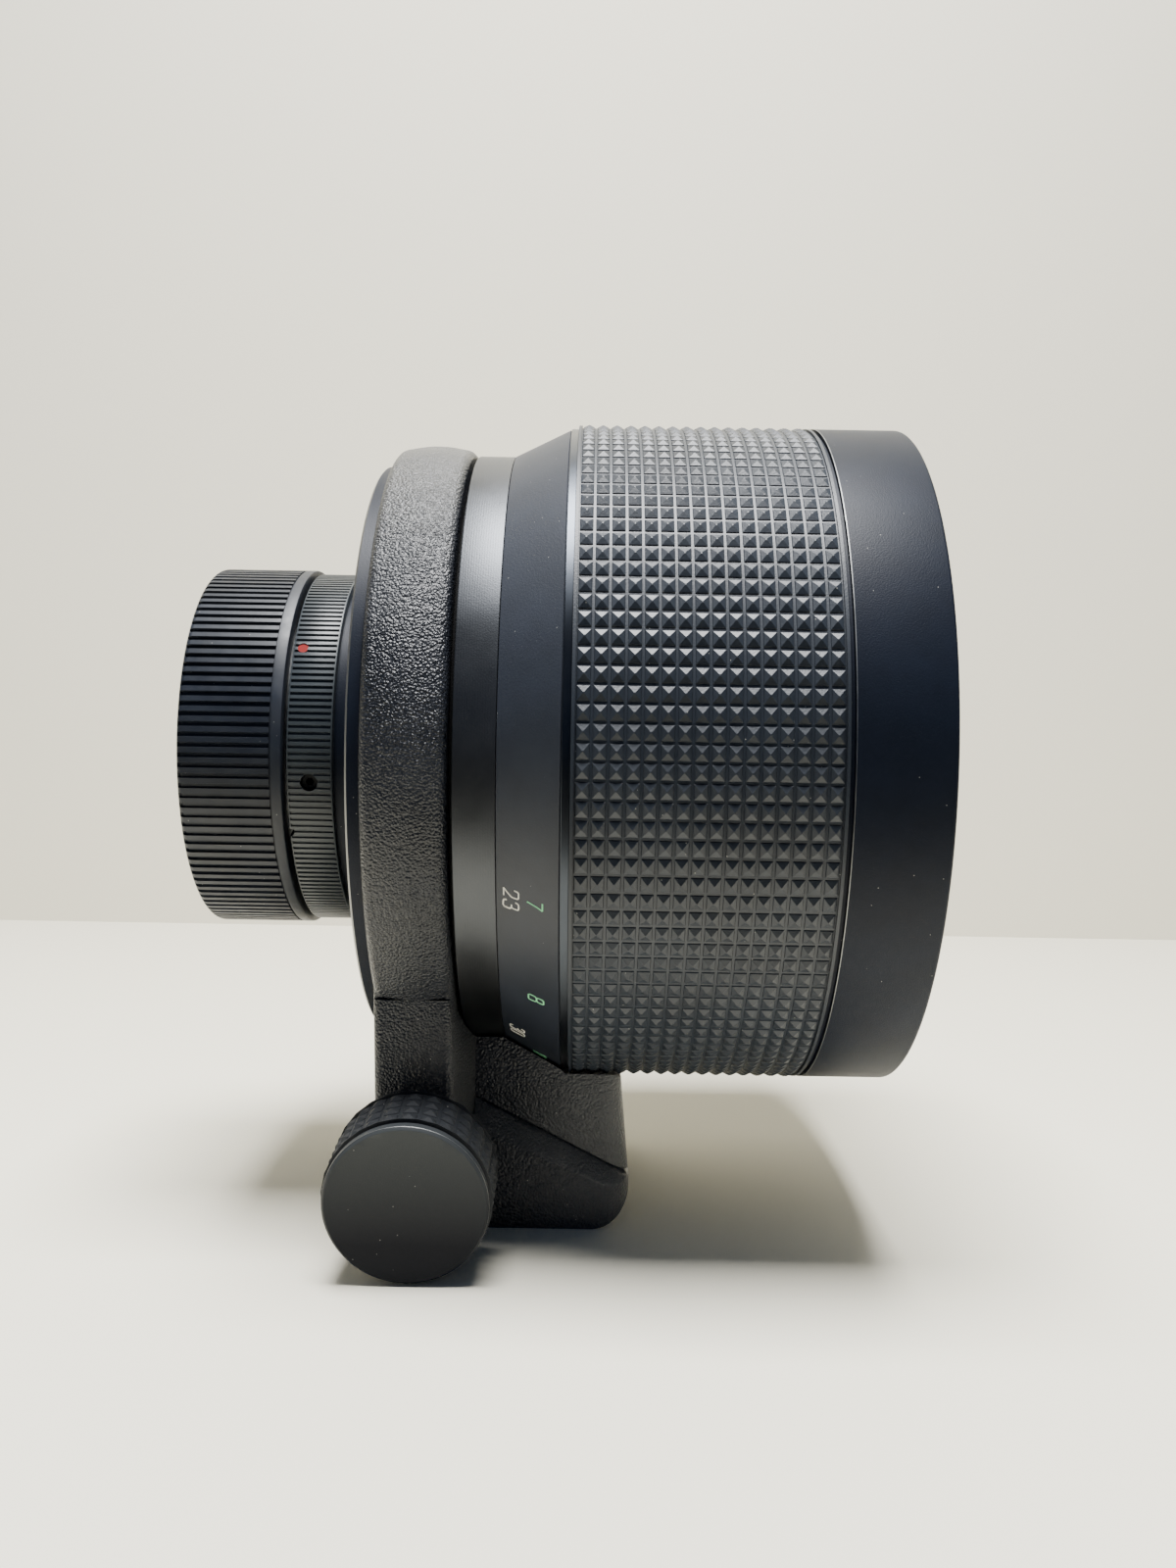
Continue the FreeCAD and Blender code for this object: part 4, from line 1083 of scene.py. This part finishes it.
def knob_rubber_mesh():
    """Rubber ring of the knob with its rings of coarse pyramids."""
    size = sizes()
    return pyramid_sleeve(KNOB_START, KNOB_GROOVE, KNOB_CORE_RADIUS, KNOB_RUBBER_RADIUS, size.knob_rows,
                          size.knob_around, margin=0.2 * MM, valley=0.25 * MM, height=size.knob_pyramid)


def tripod_socket_mesh():
    """Steel insert with the grooves of its tripod thread."""
    low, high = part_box("tripod_bush")
    outer = (high[0] - low[0]) / 2
    thread = 3.175 * MM
    depth = 9.0 * MM
    outline = [(high[2], 0.0), (high[2], outer), (0.0, outer), (0.0, thread + 0.5 * MM)]
    outline += thread_points(0.5 * MM, depth - 0.4 * MM, pitch=1.27 * MM, crest=thread,
                             root=thread + 0.6 * MM)
    outline += [(depth, thread), (depth, 0.0)]
    bm = spun(outline, steps=64, closed=False)
    middle = Vector(((low[0] + high[0]) / 2, (low[1] + high[1]) / 2, 0.0))
    return on_axis(bm, middle, Vector((0, 0, 1)))


# Strokes of the figures, in a cell that is 1 wide and 1 high
FIGURES = {
    "0": [[(0.5, 0.0), (0.02, 0.0), (0.02, 0.5), (0.02, 1.0), (0.5, 1.0), (0.98, 1.0), (0.98, 0.5),
           (0.98, 0.0), (0.5, 0.0)]],
    "1": [[(0.25, 0.75), (0.55, 1.0)], [(0.55, 1.0), (0.55, 0.0)]],
    "2": [[(0.04, 0.72), (0.04, 1.02), (0.52, 1.02), (0.98, 1.0), (0.96, 0.66), (0.9, 0.46), (0.04, 0.02)],
          [(0.04, 0.02), (0.98, 0.02)]],
    "3": [[(0.06, 0.8), (0.12, 1.02), (0.55, 1.02), (0.95, 1.0), (0.92, 0.7), (0.86, 0.54), (0.45, 0.54)],
          [(0.45, 0.54), (0.96, 0.54), (1.0, 0.26), (0.94, -0.02), (0.46, -0.02), (0.06, 0.0),
           (0.02, 0.22)]],
    "5": [[(0.9, 1.0), (0.15, 1.0)], [(0.15, 1.0), (0.1, 0.56)],
          [(0.1, 0.56), (0.4, 0.68), (0.98, 0.66), (0.98, 0.32), (0.96, -0.02), (0.46, -0.02), (0.1, 0.0),
           (0.02, 0.18)]],
    "7": [[(0.04, 1.0), (0.98, 1.0)], [(0.98, 1.0), (0.62, 0.6), (0.4, 0.0)]],
    "8": [[(0.5, 0.53), (0.1, 0.55), (0.08, 0.78), (0.1, 1.02), (0.5, 1.02), (0.9, 1.02), (0.92, 0.78),
           (0.9, 0.55), (0.5, 0.53)],
          [(0.5, 0.53), (0.02, 0.52), (0.0, 0.26), (0.02, -0.02), (0.5, -0.02), (0.98, -0.02), (1.0, 0.26),
           (0.98, 0.52), (0.5, 0.53)]],
    "oo": [[(0.5, 0.5), (0.25, 0.85), (-0.1, 0.8), (-0.1, 0.2), (0.25, 0.15), (0.5, 0.5), (0.75, 0.85),
            (1.1, 0.8), (1.1, 0.2), (0.75, 0.15), (0.5, 0.5)]],
}

# Shares of the width of a figure: from one figure of a number to the next, and how far its top leans
FIGURE_STEP = 1.42
FIGURE_LEAN = 0.12

# Share of the width of a stroke that is sunk in the cone
FIGURE_SINK = 0.3

# Angle round the lens of the index mark, and of infinity on the scale at rest
INFINITY_MARK = -150.0


def draw_stroke(drawing, stroke, foot, middle, start, whole):
    """Draws a stroke of a figure that starts so far along a number, which is so long as a whole."""
    size = sizes()
    rear, front, small, big = cone_places()
    spline = drawing.splines.new("NURBS")
    spline.points.add(len(stroke) - 1)
    for point, (across, up) in zip(spline.points, stroke):
        x = foot + up * size.figure_height
        radius = small + (big - small) * (x - rear) / (front - rear)
        lean = (up - 0.5) * FIGURE_LEAN
        along = start + (across + lean) * size.figure_width - whole / 2
        out = outwards(middle - math.degrees(along / radius))
        where = Vector((x, 0, axis_height())) + out * (radius - size.figure_stroke * FIGURE_SINK)
        point.co = (*where, 1.0)
    spline.order_u = 3
    spline.use_endpoint_u = True
    spline.resolution_u = 6


def meshed(drawing):
    """Mesh of a curve with its thickness. The curve is deleted."""
    carrier = bpy.data.objects.new("figures", drawing)
    bpy.context.scene.collection.objects.link(carrier)
    bpy.context.view_layer.update()
    made = bpy.data.meshes.new_from_object(carrier.evaluated_get(bpy.context.evaluated_depsgraph_get()))
    bm = bmesh.new()
    bm.from_mesh(made)
    bpy.data.objects.remove(carrier)
    bpy.data.curves.remove(drawing)
    bpy.data.meshes.remove(made)
    bmesh.ops.remove_doubles(bm, verts=bm.verts, dist=SMALLEST)
    bmesh.ops.recalc_face_normals(bm, faces=bm.faces)
    return bm


def figures_mesh(numbers):
    """Numbers that lie on the scale cone, each with its figures, its place and the angle of its middle."""
    size = sizes()
    drawing = bpy.data.curves.new("figures", "CURVE")
    drawing.dimensions = "3D"
    drawing.bevel_depth = size.figure_stroke / 2
    drawing.bevel_resolution = 1
    drawing.use_fill_caps = True
    step = size.figure_width * FIGURE_STEP
    for figures, foot, middle in numbers:
        whole = step * (len(figures) - 1) + size.figure_width
        for index, figure in enumerate(figures):
            for stroke in FIGURES[figure]:
                draw_stroke(drawing, stroke, foot, middle, index * step, whole)
    return meshed(drawing)


# Places along the axis where the numbers of the two scales stand
METRES_LINE = -3.2 * MM
FEET_LINE = -6.45 * MM

# Figures of each number, the place of their feet and the angle of their middle
METRES = [
    (["7"], METRES_LINE, -23.4),
    (["8"], METRES_LINE, -43.5),
    (["1", "0"], METRES_LINE, -69.0),
    (["1", "5"], METRES_LINE, -99.5),
    (["3", "0"], METRES_LINE, -127.0),
    (["oo"], METRES_LINE, INFINITY_MARK),
]
FEET = [
    (["2", "3"], FEET_LINE - 0.05 * MM, -23.5),
    (["3", "0"], FEET_LINE + 0.1 * MM, -58.3),
    (["5", "0"], FEET_LINE, -100.5),
    (["1", "0", "0"], FEET_LINE, -128.0),
]


def index_mark_mesh():
    """Painted line on the index ring that points at the distance."""
    rear, front, radius = extent("index_ring")
    middle = (rear + front) / 2
    sunk = radius - 0.1 * MM
    raised = radius + 0.01 * MM
    line_width = 0.5
    return arc_block(middle, front - 0.2 * MM, sunk, raised, INFINITY_MARK, line_width)


# Stage

WALL_Y = 0.284
WALL_TOP = 1.6
PAPER_EDGE = -0.13
TABLE_Z = -0.001
REACH = 2.0

LAMP_WIDTH = 0.34
LAMP_DEPTH = 0.3
LAMP_WATTS = 17.0
LAMP_PLACE = (0.0, -0.1, 0.72)
ROOM_COLOUR = "#9ab6ea"
ROOM_STRENGTH = 0.17

# Camera of the photograph, solved from the circles of the lens, its foot and the floor
CAMERA_MM = 29.964
CAMERA_PLACE = (0.004999, -0.221552, 0.076478)
CAMERA_TURNS = (87.7824, -0.97168, 0.12818)


def lay_sheet(name, corners, look):
    """Flat sheet of the stage from one (y, z) to another, in the finish given."""
    (y_from, z_from), (y_to, z_to) = corners
    bm = bmesh.new()
    places = [(-REACH, y_from, z_from), (REACH, y_from, z_from), (REACH, y_to, z_to), (-REACH, y_to, z_to)]
    bm.faces.new([bm.verts.new(place) for place in places])
    mesh = bpy.data.meshes.new(name)
    bm.to_mesh(mesh)
    bm.free()
    mesh.materials.append(finish(look))
    sheet = bpy.data.objects.new(name, mesh)
    bpy.context.scene.collection.objects.link(sheet)


def light_up(scene):
    """Large soft light above the lens, and dim light from the room."""
    lamp = bpy.data.lights.new("soft_overhead", "AREA")
    lamp.shape = "RECTANGLE"
    lamp.size = LAMP_WIDTH
    lamp.size_y = LAMP_DEPTH
    lamp.energy = LAMP_WATTS
    hung = bpy.data.objects.new("soft_overhead", lamp)
    hung.location = LAMP_PLACE
    scene.collection.objects.link(hung)
    world = bpy.data.worlds.new("room")
    world.use_nodes = True
    world.node_tree.nodes.clear()
    sky = add(world.node_tree, "ShaderNodeBackground", {"Color": linear(ROOM_COLOUR),
                                                        "Strength": ROOM_STRENGTH})
    add(world.node_tree, "ShaderNodeOutputWorld", {"Surface": sky.outputs["Background"]})
    scene.world = world


def set_camera(scene):
    """Camera that sees the lens as the photograph does."""
    lens = bpy.data.cameras.new("photo_camera")
    lens.sensor_width = 36.0
    lens.sensor_fit = "AUTO"
    lens.lens = CAMERA_MM
    lens.clip_start = 0.01
    lens.clip_end = 20.0
    camera = bpy.data.objects.new("photo_camera", lens)
    camera.location = CAMERA_PLACE
    camera.rotation_euler = [math.radians(turn) for turn in CAMERA_TURNS]
    scene.collection.objects.link(camera)
    scene.camera = camera


# Operators, one for each piece or group of like pieces


class MIRRORLENS_OT_rear_cap(bpy.types.Operator):
    """Builds the ribbed rear cap"""

    bl_idname = "mirror_lens.rear_cap"
    bl_label = "Rear cap"

    def execute(self, context):
        piece("ribbed_cap", lifted(rear_cap_mesh()), "rear_cap", [finish("plastic")],
              ["rear_cap"])
        return {"FINISHED"}


class MIRRORLENS_OT_adapter(bpy.types.Operator):
    """Builds the knurled camera adapter and its bayonet"""

    bl_idname = "mirror_lens.adapter"
    bl_label = "Camera adapter"

    def execute(self, context):
        piece("adapter_knurled_ring", lifted(adapter_ring_mesh()), "barrel",
              [finish("adapter"), finish("flat_black")], ["adapter_body"])
        piece("adapter_bayonet", lifted(bayonet_mesh()), "barrel", [finish("chrome")],
              ["adapter_body"])
        return {"FINISHED"}


class MIRRORLENS_OT_castings(bpy.types.Operator):
    """Builds the collar and its foot with rounded casting edges"""

    bl_idname = "mirror_lens.castings"
    bl_label = "Collar and foot"

    def execute(self, context):
        foot = open_seam(node_copy("foot_base"), sizes().seam_gap)
        castings = (("collar_casting", "collar", node_copy("collar"), "wrinkle"),
                    ("foot_casting", "foot_base", foot, "foot_wrinkle"))
        for name, node, bm, look in castings:
            soften(bm, sizes().casting_edge, limit=35.0)
            piece(name, bm, "collar", [finish(look)], [node])
        return {"FINISHED"}


class MIRRORLENS_OT_rear_housing(bpy.types.Operator):
    """Builds the rear casting with its worn rim"""

    bl_idname = "mirror_lens.rear_housing"
    bl_label = "Rear housing"

    def execute(self, context):
        piece("rear_casting", lifted(rear_housing_mesh()), "barrel",
              [finish("barrel"), finish("worn")], ["rear_housing"])
        return {"FINISHED"}


class MIRRORLENS_OT_index_ring(bpy.types.Operator):
    """Builds the satin index ring and its mark"""

    bl_idname = "mirror_lens.index_ring"
    bl_label = "Index ring"

    def execute(self, context):
        piece("index_band", lifted(index_ring_mesh()), "barrel", [finish("index")],
              ["index_ring"])
        piece("index_mark", lifted(index_mark_mesh()), "barrel", [finish("cream")])
        return {"FINISHED"}


class MIRRORLENS_OT_focus_ring(bpy.types.Operator):
    """Builds the scale cone with its stripe"""

    bl_idname = "mirror_lens.focus_ring"
    bl_label = "Scale cone"

    def execute(self, context):
        piece("scale_cone", lifted(focus_ring_mesh()), "focus_ring",
              [finish("cone"), finish("stripe")], ["focus_ring"])
        return {"FINISHED"}


class MIRRORLENS_OT_scale_figures(bpy.types.Operator):
    """Builds the figures of the distance scale"""

    bl_idname = "mirror_lens.scale_figures"
    bl_label = "Scale figures"

    def execute(self, context):
        piece("metre_figures", figures_mesh(METRES), "focus_ring", [finish("green")])
        piece("feet_figures", figures_mesh(FEET), "focus_ring", [finish("cream")])
        return {"FINISHED"}


class MIRRORLENS_OT_rubber_grip(bpy.types.Operator):
    """Builds the rubber grip with its pyramids"""

    bl_idname = "mirror_lens.rubber_grip"
    bl_label = "Rubber grip"

    def execute(self, context):
        piece("pyramid_grip", lifted(rubber_grip_mesh()), "focus_ring", [finish("rubber")],
              ["focus_grip"], sharp=20.0)
        return {"FINISHED"}


class MIRRORLENS_OT_front_barrel(bpy.types.Operator):
    """Builds the front shell, the trim ring behind it and the ring over the front lens"""

    bl_idname = "mirror_lens.front_barrel"
    bl_label = "Front barrel"

    def execute(self, context):
        piece("front_shell", lifted(front_barrel_mesh()), "front_group",
              [finish("barrel"), finish("worn")], ["front_barrel"])
        piece("trim_ring", lifted(trim_ring_mesh()), "focus_ring", [finish("barrel")],
              ["grip_trim_ring"])
        piece("lens_retainer", lifted(front_retainer_mesh()), "front_group",
              [finish("flat_black")], ["front_retainer"])
        return {"FINISHED"}


class MIRRORLENS_OT_knob(bpy.types.Operator):
    """Builds the clamp knob and its rubber ring"""

    bl_idname = "mirror_lens.knob"
    bl_label = "Clamp knob"

    def execute(self, context):
        place, direction = clamp_axis()
        piece("knob_turned_body", on_axis(knob_body_mesh(), place, direction), "knob",
              [finish("knob"), finish("worn")], ["knob_body"])
        piece("knob_rubber_ring", on_axis(knob_rubber_mesh(), place, direction), "knob",
              [finish("knob_rubber")], ["knob_grip"], sharp=20.0)
        return {"FINISHED"}


class MIRRORLENS_OT_tripod_socket(bpy.types.Operator):
    """Builds the threaded tripod insert"""

    bl_idname = "mirror_lens.tripod_socket"
    bl_label = "Tripod socket"

    def execute(self, context):
        piece("socket_insert", tripod_socket_mesh(), "collar", [finish("steel")],
              ["tripod_bush"])
        return {"FINISHED"}


class MIRRORLENS_OT_finishes(bpy.types.Operator):
    """Gives every node of the frame its finish"""

    bl_idname = "mirror_lens.finishes"
    bl_label = "Finishes"

    def execute(self, context):
        for name, node in frame["nodes"].items():
            made = finish(NODE_FINISHES.get(name, SLOT_FINISHES[slot_of(name)]))
            for slot in node.material_slots:
                slot.material = made
        return {"FINISHED"}


class MIRRORLENS_OT_stage(bpy.types.Operator):
    """Sets up the pale floor and wall, the light and the camera"""

    bl_idname = "mirror_lens.stage"
    bl_label = "Stage"

    def execute(self, context):
        lay_sheet("stage_floor", ((PAPER_EDGE, 0.0), (WALL_Y, 0.0)), "floor")
        lay_sheet("stage_wall", ((WALL_Y, 0.0), (WALL_Y, WALL_TOP)), "wall")
        lay_sheet("stage_table", ((-REACH, TABLE_Z), (WALL_Y, TABLE_Z)), "table")
        light_up(context.scene)
        set_camera(context.scene)
        return {"FINISHED"}


OPERATORS = (
    MIRRORLENS_OT_rear_cap,
    MIRRORLENS_OT_adapter,
    MIRRORLENS_OT_castings,
    MIRRORLENS_OT_rear_housing,
    MIRRORLENS_OT_index_ring,
    MIRRORLENS_OT_focus_ring,
    MIRRORLENS_OT_scale_figures,
    MIRRORLENS_OT_rubber_grip,
    MIRRORLENS_OT_front_barrel,
    MIRRORLENS_OT_knob,
    MIRRORLENS_OT_tripod_socket,
    MIRRORLENS_OT_finishes,
    MIRRORLENS_OT_stage,
)


class MIRRORLENS_PT_sidebar(bpy.types.Panel):
    """Lists the pieces of the lens and what a user may change"""

    bl_idname = "MIRRORLENS_PT_sidebar"
    bl_label = "Mirror lens"
    bl_space_type = "VIEW_3D"
    bl_region_type = "UI"
    bl_category = "Mirror lens"

    def draw(self, context):
        for operator in OPERATORS:
            self.layout.operator(operator.bl_idname)
        for group in (context.scene.mirror_lens_sizes, context.scene.mirror_lens_colours):
            box = self.layout.box()
            for key in group.bl_rna.properties.keys():
                if key not in ("rna_type", "name"):
                    box.prop(group, key)


CLASSES = (LensSizes, LensColours) + OPERATORS + (MIRRORLENS_PT_sidebar,)


def register():
    """Makes the classes and their settings known."""
    for kind in CLASSES:
        bpy.utils.register_class(kind)
    bpy.types.Scene.mirror_lens_sizes = bpy.props.PointerProperty(type=LensSizes)
    bpy.types.Scene.mirror_lens_colours = bpy.props.PointerProperty(type=LensColours)


def unregister():
    """Takes the classes and their settings away again."""
    del bpy.types.Scene.mirror_lens_colours
    del bpy.types.Scene.mirror_lens_sizes
    for kind in reversed(CLASSES):
        bpy.utils.unregister_class(kind)


def main():
    """Builds every piece in order."""
    register()
    for operator in OPERATORS:
        group, name = operator.bl_idname.split(".")
        getattr(getattr(bpy.ops, group), name)()


if __name__ == "__main__":
    main()
